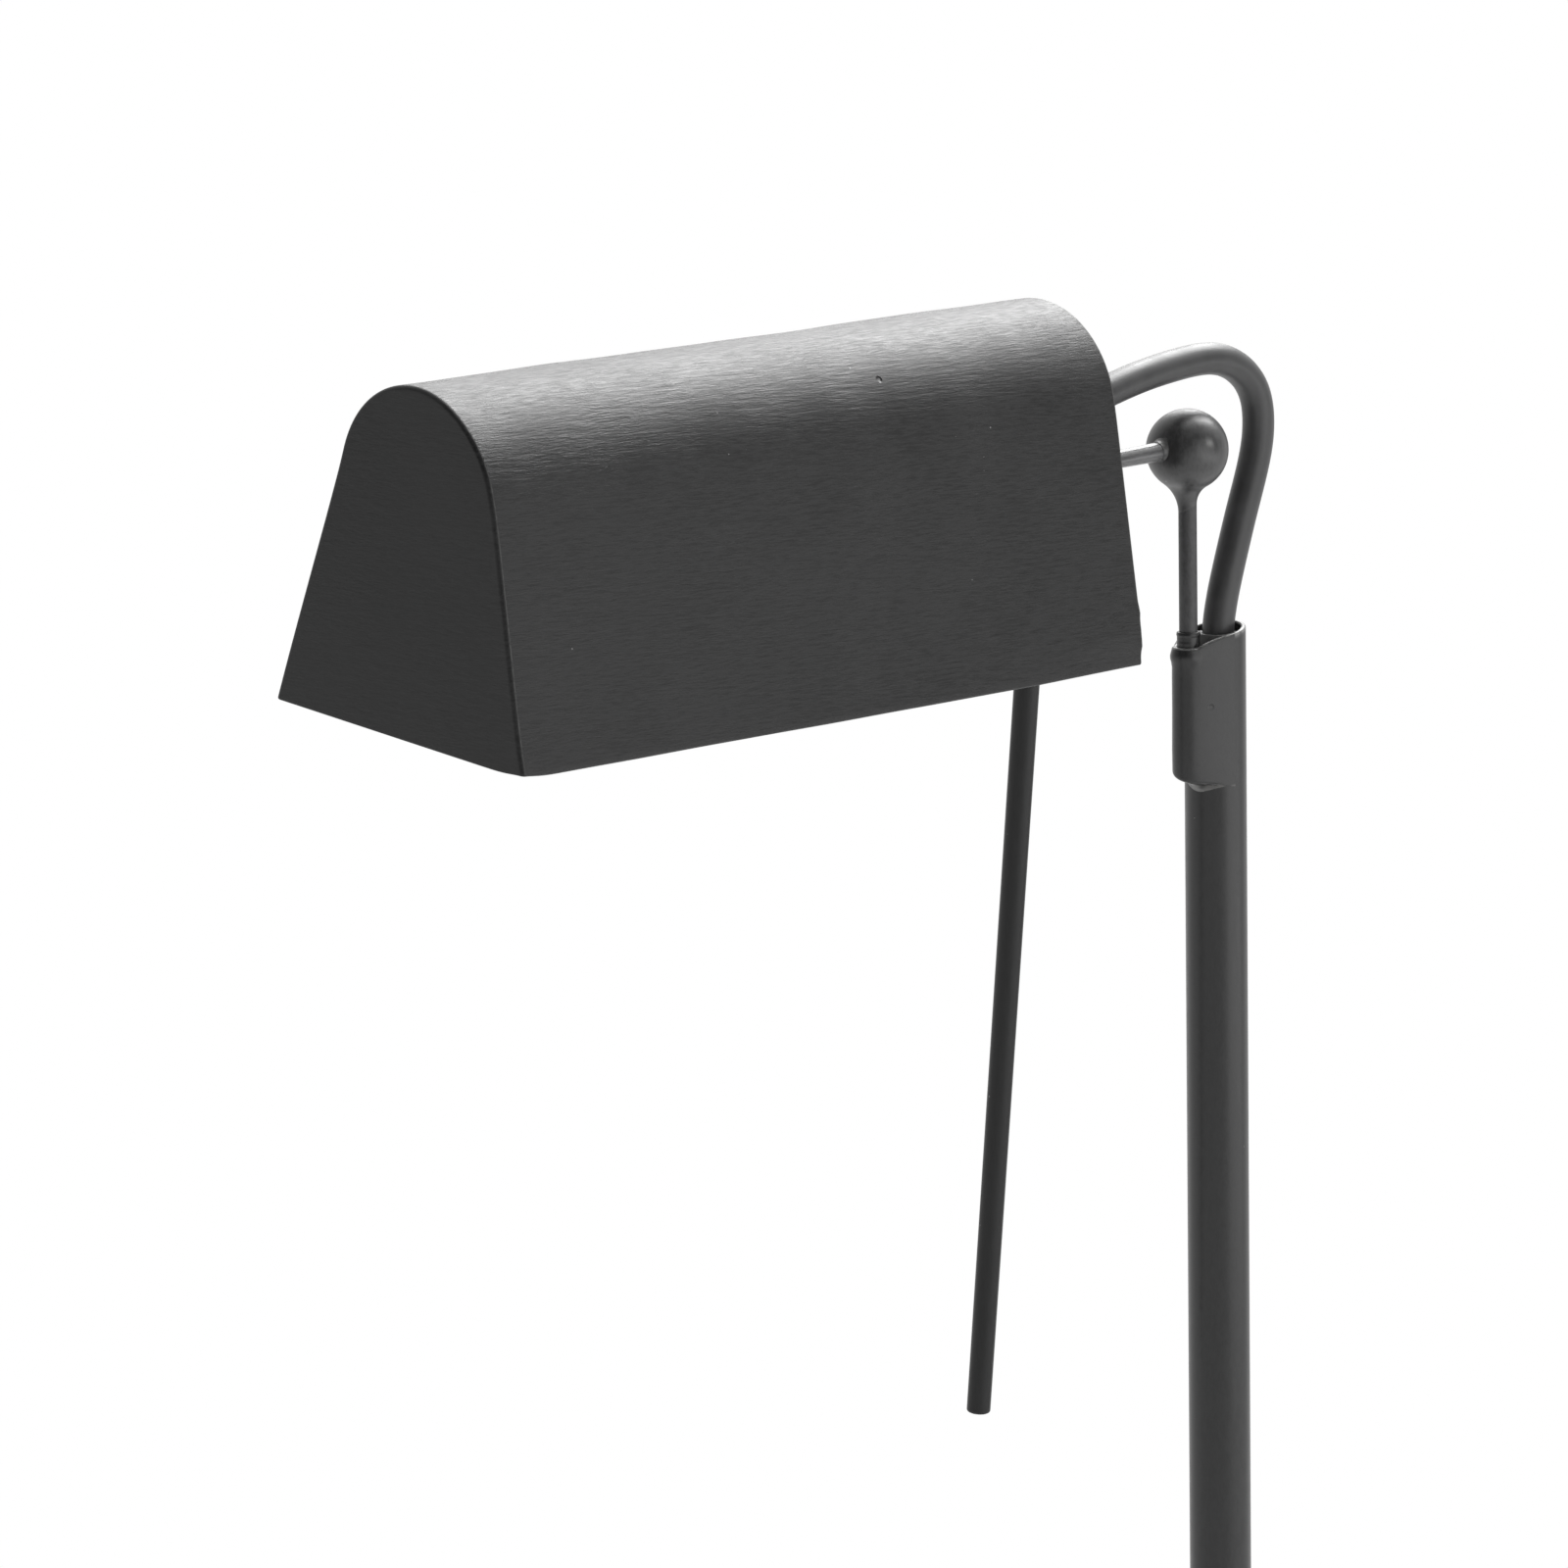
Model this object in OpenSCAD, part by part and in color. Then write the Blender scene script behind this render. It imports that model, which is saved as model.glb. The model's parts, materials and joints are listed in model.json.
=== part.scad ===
/* [Overall] */
// Height of the ball's centre above the table
ball_z = 365; // [330:1:480]
// Lean of the shade at rest, in degrees
rest_tilt = 6.2; // [0:0.1:15]

/* [Base] */
// Diameter of the base disc
base_d = 140; // [132:1:180]
// Thickness of the base disc
base_h = 20; // [19:0.5:30]
// Radius of the base's top edge
base_edge_r = 3; // [1:0.5:5]
// Thickness of the felt under the base
felt_t = 2; // [1:0.5:4]
// Bare margin round the felt
felt_margin = 3; // [1:0.5:8]
// Diameter of the hollow under the base
recess_d = 100; // [92:1:108]
// Thickness of the roof over the hollow
roof_t = 6; // [4:0.5:7]
// Width of the ledge that the cover lies on
cover_ledge = 5.5; // [5:0.5:8]
// Thickness of the cover
cover_t = 1.5; // [1.3:0.1:2.5]
// Number of cover screws
cover_screws = 3; // [3:1:6]

/* [Pole] */
// Outer diameter of the pole
pole_d = 12; // [11:0.5:14]
// Wall of the pole
pole_wall = 1; // [0.8:0.1:1.3]
// Drop from the ball's centre to the pole's top rim, on the pole's axis
rim_drop = 35.6; // [34:0.2:37]
// Slant of the top rim, in degrees
rim_slant = 10; // [0:1:16]
// Room round the socket where the rim is cut down to its top
rim_notch = 0.8; // [0.4:0.1:1.5]
// Diameter of the collar at the pole's foot
collar_d = 18; // [16:0.5:26]
// Height of the collar at the pole's foot
collar_h = 6; // [3:0.5:12]
// Across flats of the nut under the base
pole_nut_af = 17; // [16:0.5:20]
// Thickness of the nut under the base
pole_nut_t = 4.5; // [3:0.5:5]

/* [Swivel] */
// Distance from the pole's axis to the stem's axis
stem_offset = 7.4; // [6.8:0.1:9]
// Diameter of the stem
stem_d = 3.4; // [2.8:0.1:3.6]
// Outer diameter of the socket tube
socket_d = 6.5; // [5.6:0.1:7]
// Length of the socket tube
socket_l = 25.8; // [20:0.2:34]
// Drop from the ball's centre to the socket's top
socket_drop = 38.6; // [36:0.2:46]
// Thickness of the socket's floor
socket_floor = 2.4; // [1.5:0.1:4]
// Outer diameter of the bush in the socket
bush_d = 4.5; // [4.3:0.1:5]
// Length of the bush that stands above the socket
bush_rise = 3; // [1:0.2:6]
// Length of the bush inside the socket
bush_depth = 16; // [8:0.5:17]

/* [Ball] */
// Diameter of the ball
ball_d = 15.9; // [13:0.1:18]
// Drop from the ball's centre to the end of its neck
neck_drop = 11; // [10.5:0.1:14]

/* [Tilt pivot] */
// Diameter of the tilt rod
rod_d = 2.8; // [2.6:0.1:3.2]
// Diameter of the tilt rod's threaded end
rod_thread_d = 2.5; // [2:0.1:2.5]
// Distance from the ball's centre to the outside of the rear cap
rod_reach = 42.3; // [36:0.1:50]
// Diameter of the pivot bush
pivot_d = 6; // [5:0.1:6.4]
// Diameter of the pivot bush's flange
pivot_flange_d = 9; // [8:0.1:9.4]
// Thickness of the pivot bush's flange
pivot_flange_t = 1.2; // [0.8:0.1:2]
// Length of the pivot bush inside the rear cap
pivot_inner_l = 3.8; // [2:0.1:6]
// Thickness of a friction washer
washer_t = 0.8; // [0.4:0.1:1.2]
// Diameter of a friction washer
washer_d = 7; // [6:0.1:8]
// Length of the stop collar
stop_l = 3; // [2:0.1:5]
// Height of the dished spring washer
spring_h = 1; // [0.8:0.1:1.5]
// Across flats of the lock nut
lock_nut_af = 5; // [4.5:0.1:6]
// Thickness of the lock nut
lock_nut_t = 2; // [1.5:0.1:3]

/* [Shade] */
// Length of the shade over its caps
shade_l = 158.2; // [150:0.2:190]
// Width of the shade at its lower edge
shade_w = 65.4; // [60:0.2:76]
// Height of the shade
shade_h = 63.7; // [60:0.1:74]
// Radius of the shade's round top
top_r = 19.8; // [17:0.1:24]
// Height of the tilt axis above the lower edge
axis_rise = 30.1; // [28:0.1:33]
// Thickness of the shade's sheet
sheet_t = 1; // [0.7:0.1:1.4]
// Thickness of the end caps
cap_t = 1.2; // [0.8:0.1:2]

/* [Handle] */
// Diameter of the handle at its top
handle_d = 5; // [4.4:0.1:6]
// Diameter of the handle at its tip
handle_tip_d = 4.5; // [3.5:0.1:6]
// Reach of the handle below the shade's lower edge
handle_reach = 156.4; // [100:0.2:200]
// Depth of the flat where the handle lies on the rear cap
handle_flat = 0.2; // [0.1:0.1:0.6]
// Height of the handle's top above the lower edge
handle_top = 22.5; // [20:0.5:23]
// Diameter of the screws that hold the handle
handle_screw_d = 2.5; // [2:0.1:3]

/* [Lead] */
// Diameter of the lead
lead_d = 6.2; // [5:0.1:6.4]
// Diameter of one core
core_d = 1.8; // [1.2:0.1:2]
// Place of the lead in the pole, behind the pole's axis
lead_x = 1; // [0.8:0.1:1.2]
// Height of the lead's entry above the tilt axis
entry_rise = 10.5; // [10.4:0.1:12]
// Diameter of the cable grommet's flanges
grommet_d = 10.6; // [9.6:0.1:11]
// Diameter of the hole for the cable grommet
grommet_hole_d = 8.8; // [8:0.1:9]
// Thickness of the cable grommet's flanges
grommet_flange_t = 1.4; // [0.8:0.1:2]

/* [Lampholder] */
// Height of the lamp's axis above the tilt axis
lamp_rise = 2; // [0:0.1:4]
// Width of the lampholder's bracket
bracket_w = 18; // [16:0.5:24]
// Thickness of the bracket
bracket_t = 1.5; // [1:0.1:2]
// Distance from the rear cap to the bracket's upright leg
bracket_reach = 26; // [23:0.5:30]
// Outer diameter of the threaded nipple
nipple_d = 10; // [9.6:0.1:11]
// Bore of the threaded nipple
nipple_bore = 7.4; // [6.5:0.1:8]
// Diameter of the lampholder
holder_d = 28; // [26:0.5:30]
// Length of the lampholder's cap
holder_cap_l = 18; // [15:0.5:22]
// Length of the lampholder's body
holder_body_l = 28; // [24:0.5:32]
// Diameter of the lamp's screw cap
lamp_cap_d = 14; // [13:0.1:15]
// Length of the lamp's screw cap
lamp_cap_l = 22; // [21:0.5:26]
// Diameter of the lamp's glass
glass_d = 25; // [20:0.5:28]
// Length of the lamp, cap and glass together
lamp_l = 85; // [75:0.5:90]
// Wall of the lamp's glass
glass_t = 0.8; // [0.6:0.1:1.2]

/* [Switch and terminals] */
// Distance of the switch from the pole's axis
switch_reach = 37; // [34:0.5:38]
// Diameter of the switch's threaded barrel
switch_d = 12; // [11:0.5:14]
// Diameter of the switch's button
button_d = 8; // [6:0.2:8.4]
// Height of the button above the ring nut
button_rise = 4; // [3:0.5:6]
// Travel of the button
button_travel = 2; // [1:0.5:2.5]
// Diameter of the ring nut round the switch
ring_nut_d = 17; // [15:0.5:20]
// Thickness of the ring nut
ring_nut_t = 2; // [1.5:0.5:3]
// Diameter of the outlet gland
gland_d = 10; // [9:0.2:11]
// Bore of the outlet gland
gland_bore = 6.4; // [5:0.1:7]
// Length of the gland's outer flange
gland_flange_t = 3; // [2:0.5:6]
// Diameter of the gland's outer flange
gland_flange_d = 13; // [12:0.2:15]
// Width of the terminal block
block_w = 26; // [24:0.5:32]

/* [Fits] */
// Gap round a fixed piece in its seat
fit_gap = 0.03; // [0.01:0.01:0.08]
// Gap round a turning or sliding piece
run_gap = 0.05; // [0.02:0.01:0.08]

/* [Hidden] */
$fn = 64;

black = [0.09, 0.09, 0.095];
steel = [0.62, 0.63, 0.65];
past = 1;

// Heights in the base
base_z = felt_t;
base_top = base_z + base_h;
roof_z = base_top - roof_t;
cover_d = recess_d + 2 * cover_ledge;
cover_screw_r = (recess_d + cover_ledge) / 2;
cover_screw_d = 2.5;
cover_head_d = 4.4;
cover_head_h = 1;
cover_screw_l = 8;

// Heights along the pole
pole_bore = pole_d - 2 * pole_wall;
pole_washer_t = 1;
pole_washer_d = pole_nut_af + 5;
pole_tail = 1.5;
pole_foot = roof_z - pole_washer_t - pole_nut_t - pole_tail;
rim_z = ball_z - rim_drop;
stem_x = -stem_offset;
socket_top = ball_z - socket_drop;
socket_z = socket_top - socket_l;
sleeve_l = 12;
sleeve_sink = 3.2;
sleeve_lip_h = 2.4;
sleeve_lip_d = lead_d + 3;

// Stations along the tilt rod and the lamp, on the local x axis, which points away from the shade
rear_x = -rod_reach;
front_x = rear_x - shade_l;
flange_x = rear_x + pivot_flange_t;
washer_x = flange_x + run_gap;
stop_x = washer_x + washer_t;
pivot_end = rear_x - cap_t - pivot_inner_l;
shoulder_x = pivot_end - run_gap;
inner_washer_x = shoulder_x;
spring_x = inner_washer_x - washer_t;
nut_x = spring_x - spring_h;
rod_tail = 1;
rod_seat = 3;
stem_seat = 2.4;

// The shade's arched section, as heights from the tilt axis
edge_z = -axis_rise;
arc_z = shade_h - axis_rise - top_r;
lean = atan2(edge_z - arc_z, shade_w / 2) + acos(top_r / norm([shade_w / 2, edge_z - arc_z]));

// Handle, screws and bracket on the rear cap
handle_out = handle_d / 2 - handle_flat;
handle_x = rear_x + handle_out;
handle_l = handle_top + handle_reach;
handle_screw_z = [edge_z + 8, edge_z + 17];
handle_screw_in = 3;
pan_head_h = 1.8;
pan_head_d = 4.6;
leg_x = rear_x - cap_t - bracket_reach;
leg_base_z = edge_z + 3;
leg_top_z = lamp_rise + bracket_w / 2;
foot_top_z = edge_z + 22.5;

// Lampholder and lamp
nipple_nut_af = nipple_d + 4;
nipple_nut_t = 3;
nipple_out = 6;
nipple_in = 8;
holder_x = leg_x - bracket_t;
holder_wall = 1.6;
body_x = holder_x - holder_cap_l;
body_floor = 8;
contact_x = body_x - body_floor;
glass_x = contact_x - lamp_cap_l;

// Switch and terminals
ring_top = base_top + ring_nut_t;
switch_can_d = 17;
switch_can_h = 9.5;
button_in = 8;
block_l = 14;
block_h = 9;
block_x = 15;
block_pitch = 7.5;
block_hole_d = core_d + 0.6;
gland_z = base_z + base_h / 2 - 1;
gland_in = 3;

// Routes, as points from the ball's centre in the plane of the pole and the shade
lower_route = [[8.4, -38], [8.4, -35.5], [9.2, -31], [10.9, -25.5], [13, -19.5], [15.2, -13.5], [17.2, -8.5],
    [19, -3.5], [20.1, 1.5], [20.1, 3.5]];
upper_route = [[20.1, 3.5], [20.1, 5.5], [18.4, 10.5], [14.6, 14.2], [9.2, 16.6], [3.2, 17.1], [-2.8, 16.7],
    [-9.3, 16], [-15.8, 15], [-22.8, 13.6], [-29.8, 12.1], [-36.3, 11]];
sheath_in = 6;
sheath_up = 3;

// Functions that sweep a round section along a list of points
function unit(v) = v / norm(v);
function heading(p, i) = unit(p[min(i + 1, len(p) - 1)] - p[max(i - 1, 0)]);
function ring(p, i, d, sides, side_axis) =
    let (t = heading(p, i), n = unit(cross(side_axis, t)), b = cross(t, n))
    [for (k = [0:sides - 1]) p[i] + d / 2 * (cos(360 * k / sides) * n + sin(360 * k / sides) * b)];
function side_x(inset, z) =
    (top_r - inset) * cos(lean) + (arc_z + (top_r - inset) * sin(lean) - z) * tan(lean);

// A round tube swept along points, closed at both ends
module swept(p, d, sides = 10, side_axis = [0, 1, 0]) {
    last = len(p) - 1;
    points = [for (i = [0:last]) each ring(p, i, d, sides, side_axis)];
    walls = [for (i = [0:last - 1], k = [0:sides - 1])
        let (a = i * sides + k, b = i * sides + (k + 1) % sides)
        each [[a, a + sides, b], [b, a + sides, b + sides]]];
    start = [for (k = [1:sides - 2]) [0, k, k + 1]];
    end = [for (k = [1:sides - 2]) [last * sides, last * sides + k + 1, last * sides + k]];
    polyhedron(points, concat(walls, start, end), convexity = 6);
}

// Places what turns with the shade: the origin is the ball's centre, x along the tilt rod
module in_shade() {
    translate([stem_x, 0, ball_z]) rotate([rest_tilt, 0, 0]) children();
}

// Places what turns with the stem
module in_knuckle() {
    translate([stem_x, 0, ball_z]) children();
}

// A cylinder that starts at x and runs into the shade
module bar(x, length, d, z = 0, d_end = 0) {
    translate([x, 0, z]) rotate([0, -90, 0])
        cylinder(h = length, d1 = d, d2 = d_end > 0 ? d_end : d);
}

// A body of revolution about the shade's axis, from points of radius and depth past x
module turned(x, points, z = 0) {
    translate([x, 0, z]) rotate([0, -90, 0]) rotate_extrude() polygon(points);
}

// A hexagonal nut along x
module hex_nut(x, t, af, bore, z = 0) {
    difference() {
        translate([x, 0, z]) rotate([0, -90, 0]) cylinder(h = t, d = af / cos(30), $fn = 6);
        bar(x + past, t + 2 * past, bore, z);
    }
}

// A pan-head screw along x, its head on the plane at x and its shank running out of the shade
module pan_screw(x, d, shank, z) {
    translate([x, 0, z]) rotate([0, 90, 0]) cylinder(h = shank, d = d);
    bar(x, pan_head_h, pan_head_d, z, pan_head_d - 1);
}

// The shade's section, inset from its outer face and cut off at height z
module arch(inset, z) {
    translate([0, arc_z]) circle(top_r - inset);
    shoulder = [(top_r - inset) * cos(lean), arc_z + (top_r - inset) * sin(lean)];
    polygon([[-side_x(inset, z), z], [side_x(inset, z), z], shoulder, [-shoulder[0], shoulder[1]]]);
}

// A slab with the shade's section, from x towards the pole
module arch_slab(x, thickness, inset = 0, z = edge_z) {
    translate([x, 0, 0]) rotate([90, 0, 90]) linear_extrude(thickness) arch(inset, z);
}

module base_disc() {
    steps = 6;
    r = base_d / 2;
    edge = [for (i = [0:steps]) let (a = 90 * i / steps)
        [r - base_edge_r + base_edge_r * cos(a), base_top - base_edge_r + base_edge_r * sin(a)]];
    color(black) difference() {
        rotate_extrude() polygon(concat([[0, base_z], [r, base_z]], edge, [[0, base_top]]));
        translate([0, 0, base_z - past]) cylinder(h = base_h - roof_t + past, d = recess_d);
        translate([0, 0, base_z - past]) cylinder(h = cover_t + past, d = cover_d + 2 * fit_gap);
        cylinder(h = base_top + past, d = pole_d + 2 * fit_gap);
        translate([-switch_reach, 0, 0]) cylinder(h = base_top + past, d = switch_d + 2 * fit_gap);
        translate([0, 0, gland_z]) rotate([0, 90, 0]) cylinder(h = base_d, d = gland_d + 2 * fit_gap);
        at_cover_screws() cylinder(h = cover_screw_l + fit_gap, d = cover_screw_d + 2 * fit_gap);
        at_block_screw() cylinder(h = block_h + block_screw_bite + fit_gap, d = block_screw_d + 2 * fit_gap);
    }
}

// Repeats a screw up through the cover into the base
module at_cover_screws() {
    for (i = [0:cover_screws - 1])
        rotate([0, 0, 60 + 360 * i / cover_screws]) translate([cover_screw_r, 0, base_z]) children();
}

module base_cover() {
    color(steel) difference() {
        translate([0, 0, base_z]) cylinder(h = cover_t, d = cover_d);
        at_cover_screws() {
            translate([0, 0, -past]) cylinder(h = cover_t + 2 * past, d = cover_screw_d + 2 * fit_gap);
            cylinder(h = cover_head_h, d1 = cover_head_d + 2 * fit_gap, d2 = cover_screw_d + 2 * fit_gap);
        }
    }
}

module base_cover_screws() {
    color(steel) at_cover_screws() {
        cylinder(h = cover_head_h, d1 = cover_head_d, d2 = cover_screw_d);
        cylinder(h = cover_screw_l, d = cover_screw_d);
    }
}

module base_felt() {
    color([0.13, 0.13, 0.13]) cylinder(h = felt_t, d = base_d - 2 * felt_margin);
}

// The half space above the pole's slanted rim
module above_rim(sink = 0) {
    size = 4 * pole_d;
    translate([0, 0, rim_z - sink]) rotate([0, -rim_slant, 0])
        translate([-size / 2, -size / 2, 0]) cube(size);
}

module pole() {
    color(black) difference() {
        translate([0, 0, pole_foot]) cylinder(h = rim_z - pole_foot + pole_d, d = pole_d);
        translate([0, 0, pole_foot - past]) cylinder(h = rim_z - pole_foot + 2 * pole_d, d = pole_bore);
        above_rim();
        translate([stem_x, 0, socket_z - fit_gap]) cylinder(h = 2 * socket_l, d = socket_d + 2 * fit_gap);
        translate([stem_x, 0, socket_top]) cylinder(h = socket_l, d = socket_d + 2 * rim_notch);
    }
}

module pole_collar() {
    color(black) difference() {
        translate([0, 0, base_top]) cylinder(h = collar_h, d = collar_d);
        translate([0, 0, base_top + collar_h - past]) difference() {
            cylinder(h = 2 * past, d = collar_d + past);
            cylinder(h = past, d1 = collar_d, d2 = collar_d - 2 * past);
        }
        cylinder(h = ball_z, d = pole_d + 2 * fit_gap);
    }
}

module pole_washer() {
    color(steel) difference() {
        translate([0, 0, roof_z - pole_washer_t]) cylinder(h = pole_washer_t, d = pole_washer_d);
        cylinder(h = ball_z, d = pole_d + 2 * fit_gap);
    }
}

module pole_nut() {
    color(steel) difference() {
        translate([0, 0, roof_z - pole_washer_t - pole_nut_t])
            cylinder(h = pole_nut_t, d = pole_nut_af / cos(30), $fn = 6);
        cylinder(h = ball_z, d = pole_d + 2 * fit_gap);
    }
}

module pole_sleeve() {
    top = rim_z - sleeve_sink;
    color([0.05, 0.05, 0.05]) difference() {
        union() {
            difference() {
                translate([0, 0, rim_z - sleeve_l]) cylinder(h = 2 * sleeve_l, d = pole_bore - 2 * fit_gap);
                above_rim(sleeve_sink);
            }
            translate([lead_x, 0, top - sleeve_lip_h]) intersection() {
                cylinder(h = 2 * sleeve_lip_h, d1 = sleeve_lip_d + 1, d2 = sleeve_lip_d - 1);
                translate([-lead_x, 0, 0]) cylinder(h = 2 * sleeve_lip_h, d = pole_bore - 2 * fit_gap);
            }
        }
        translate([lead_x, 0, rim_z - 2 * sleeve_l]) cylinder(h = 4 * sleeve_l, d = lead_d + 2 * run_gap);
        translate([stem_x, 0, socket_z]) cylinder(h = 2 * socket_l, d = socket_d + 2 * run_gap);
    }
}

// The socket's tube with the flat braze that runs it into the pole
module stem_socket() {
    fall = asin((pole_d - socket_d) / 2 / stem_offset);
    tangent = [-sin(fall), cos(fall)];
    at_pole = tangent * pole_d / 2;
    at_stem = tangent * socket_d / 2 + [stem_x, 0];
    color(black) difference() {
        union() {
            difference() {
                translate([0, 0, socket_z]) linear_extrude(socket_l)
                    polygon([at_pole, at_stem, [at_stem[0], -at_stem[1]], [at_pole[0], -at_pole[1]]]);
                translate([0, 0, socket_z - past])
                    cylinder(h = socket_l + 2 * past, d = pole_d + 2 * fit_gap);
                above_rim();
            }
            translate([stem_x, 0, socket_z]) cylinder(h = socket_l, d = socket_d);
        }
        translate([stem_x, 0, socket_z + socket_floor]) cylinder(h = socket_l, d = bush_d + 2 * fit_gap);
    }
}

module swivel_bush() {
    color(black) translate([stem_x, 0, socket_top - bush_depth]) difference() {
        cylinder(h = bush_depth + bush_rise, d = bush_d);
        translate([0, 0, -past]) cylinder(h = bush_depth + bush_rise + 2 * past, d = stem_d + 2 * run_gap);
    }
}

module swivel_stem() {
    foot = socket_z + socket_floor + run_gap;
    color(black) translate([stem_x, 0, foot]) cylinder(h = ball_z - stem_seat - foot, d = stem_d);
}

// The ball runs into its neck through a hollow curve that touches both
module knuckle_ball() {
    r = ball_d / 2;
    s = stem_d / 2 + 0.25;
    hollow = (neck_drop * neck_drop + s * s - r * r) / (2 * (r - s));
    meet = atan2(-neck_drop, s + hollow);
    steps = 10;
    sphere_arc = [for (i = [0:2 * steps]) let (a = 90 + (meet - 90) * i / (2 * steps))
        r * [cos(a), sin(a)]];
    neck_arc = [for (i = [1:steps]) let (a = meet + 180 + (-meet) * i / steps)
        [s + hollow, -neck_drop] + hollow * [cos(a), sin(a)]];
    color(black) in_knuckle() difference() {
        rotate_extrude() polygon(concat([[0, r]], sphere_arc, neck_arc, [[0, -neck_drop]]));
        translate([0, 0, -neck_drop - past])
            cylinder(h = neck_drop + past - stem_seat + fit_gap, d = stem_d + 2 * fit_gap);
        bar(rod_seat + fit_gap, ball_d, rod_d + 2 * fit_gap);
    }
}

module tilt_rod() {
    color(black) in_knuckle() {
        bar(rod_seat, rod_seat - shoulder_x, rod_d);
        bar(shoulder_x + past, past + washer_t + spring_h + lock_nut_t + rod_tail, rod_thread_d);
    }
}

// A plain ring on the tilt rod
module rod_ring(x, length, d, bore) {
    in_knuckle() difference() {
        bar(x, length, d);
        bar(x + past, length + 2 * past, bore + 2 * fit_gap);
    }
}

module stop_collar() {
    color(black) rod_ring(stop_x + stop_l, stop_l, washer_d, rod_d);
}

module outer_friction_washer() {
    color([0.45, 0.12, 0.08]) rod_ring(stop_x, washer_t, washer_d, rod_d);
}

module inner_friction_washer() {
    color([0.45, 0.12, 0.08]) rod_ring(inner_washer_x, washer_t, washer_d, rod_thread_d);
}

module spring_washer() {
    inner = rod_thread_d / 2 + fit_gap;
    outer = washer_d / 2;
    thick = 0.5;
    color(steel) in_knuckle() turned(spring_x,
        [[outer, 0], [outer, thick], [inner, spring_h], [inner, spring_h - thick]]);
}

module lock_nut() {
    color(steel) in_knuckle() hex_nut(nut_x, lock_nut_t, lock_nut_af, rod_thread_d + 2 * fit_gap);
}

module shade_shell() {
    length = shade_l - 2 * cap_t;
    color(black) in_shade() difference() {
        arch_slab(front_x + cap_t, length);
        arch_slab(front_x, length + 2 * cap_t, sheet_t, edge_z - past);
    }
}

module front_cap() {
    color(black) in_shade() arch_slab(front_x, cap_t);
}

module rear_cap() {
    color(black) in_shade() difference() {
        arch_slab(rear_x - cap_t, cap_t);
        bar(rear_x + past, cap_t + 2 * past, pivot_d + 2 * fit_gap);
        bar(rear_x + past, cap_t + 2 * past, grommet_hole_d + 2 * fit_gap, entry_rise);
        for (z = handle_screw_z)
            bar(rear_x + past, cap_t + 2 * past, handle_screw_d + 2 * fit_gap, z);
    }
}

module pivot_bush() {
    color([0.72, 0.58, 0.32]) in_shade() difference() {
        union() {
            bar(flange_x, pivot_flange_t, pivot_flange_d);
            bar(rear_x + pivot_flange_t / 2, pivot_flange_t / 2 + cap_t + pivot_inner_l, pivot_d);
        }
        bar(flange_x + past, pivot_flange_t + cap_t + pivot_inner_l + 2 * past, rod_d + 2 * run_gap);
    }
}

module handle_rod() {
    chamfer = 0.5;
    color(black) in_shade() difference() {
        union() {
            translate([handle_x, 0, edge_z - handle_reach + chamfer])
                cylinder(h = handle_l - chamfer, d1 = handle_tip_d, d2 = handle_d);
            translate([handle_x, 0, edge_z - handle_reach])
                cylinder(h = chamfer, d1 = handle_tip_d - 2 * chamfer, d2 = handle_tip_d);
        }
        translate([rear_x - handle_d, -handle_d, edge_z - handle_d / 2])
            cube([handle_d, 2 * handle_d, handle_top + handle_d]);
        for (z = handle_screw_z)
            bar(rear_x + handle_screw_in + fit_gap, handle_d, handle_screw_d + 2 * fit_gap, z);
    }
}

module handle_screws() {
    color(steel) in_shade() for (z = handle_screw_z)
        pan_screw(rear_x - cap_t - bracket_t, handle_screw_d, handle_screw_in + cap_t + bracket_t, z);
}

module cable_grommet() {
    total = 2 * grommet_flange_t + cap_t;
    color([0.05, 0.05, 0.05]) in_shade() difference() {
        union() {
            bar(rear_x + grommet_flange_t, grommet_flange_t, grommet_d, entry_rise, grommet_d);
            bar(rear_x + grommet_flange_t / 2, total - grommet_flange_t, grommet_hole_d, entry_rise);
            bar(rear_x - cap_t, grommet_flange_t, grommet_d, entry_rise, grommet_d - 0.8);
        }
        bar(rear_x + grommet_flange_t + past, total + 2 * past, lead_d + 2 * run_gap, entry_rise);
    }
}

module lead_in_pole() {
    top = ball_z + lower_route[0][1];
    foot = pole_foot + sheath_up;
    color([0.12, 0.12, 0.12]) translate([lead_x, 0, foot]) cylinder(h = top - foot, d = lead_d);
}

module lead_lower() {
    color([0.12, 0.12, 0.12]) in_knuckle() swept([for (p = lower_route) [p[0], 0, p[1]]], lead_d);
}

// The last points run square through the grommet of the leaning shade
module lead_upper() {
    entry = [0, -entry_rise * sin(rest_tilt), entry_rise * cos(rest_tilt)];
    loop = [for (p = upper_route) [p[0], entry[1] * pow(max(0, p[0] / (rear_x + 6)), 2), p[1]]];
    ending = [for (x = [rear_x + 2, rear_x - cap_t - sheath_in]) entry + [x, 0, 0]];
    color([0.12, 0.12, 0.12]) in_knuckle() swept(concat(loop, ending), lead_d);
}

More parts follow.
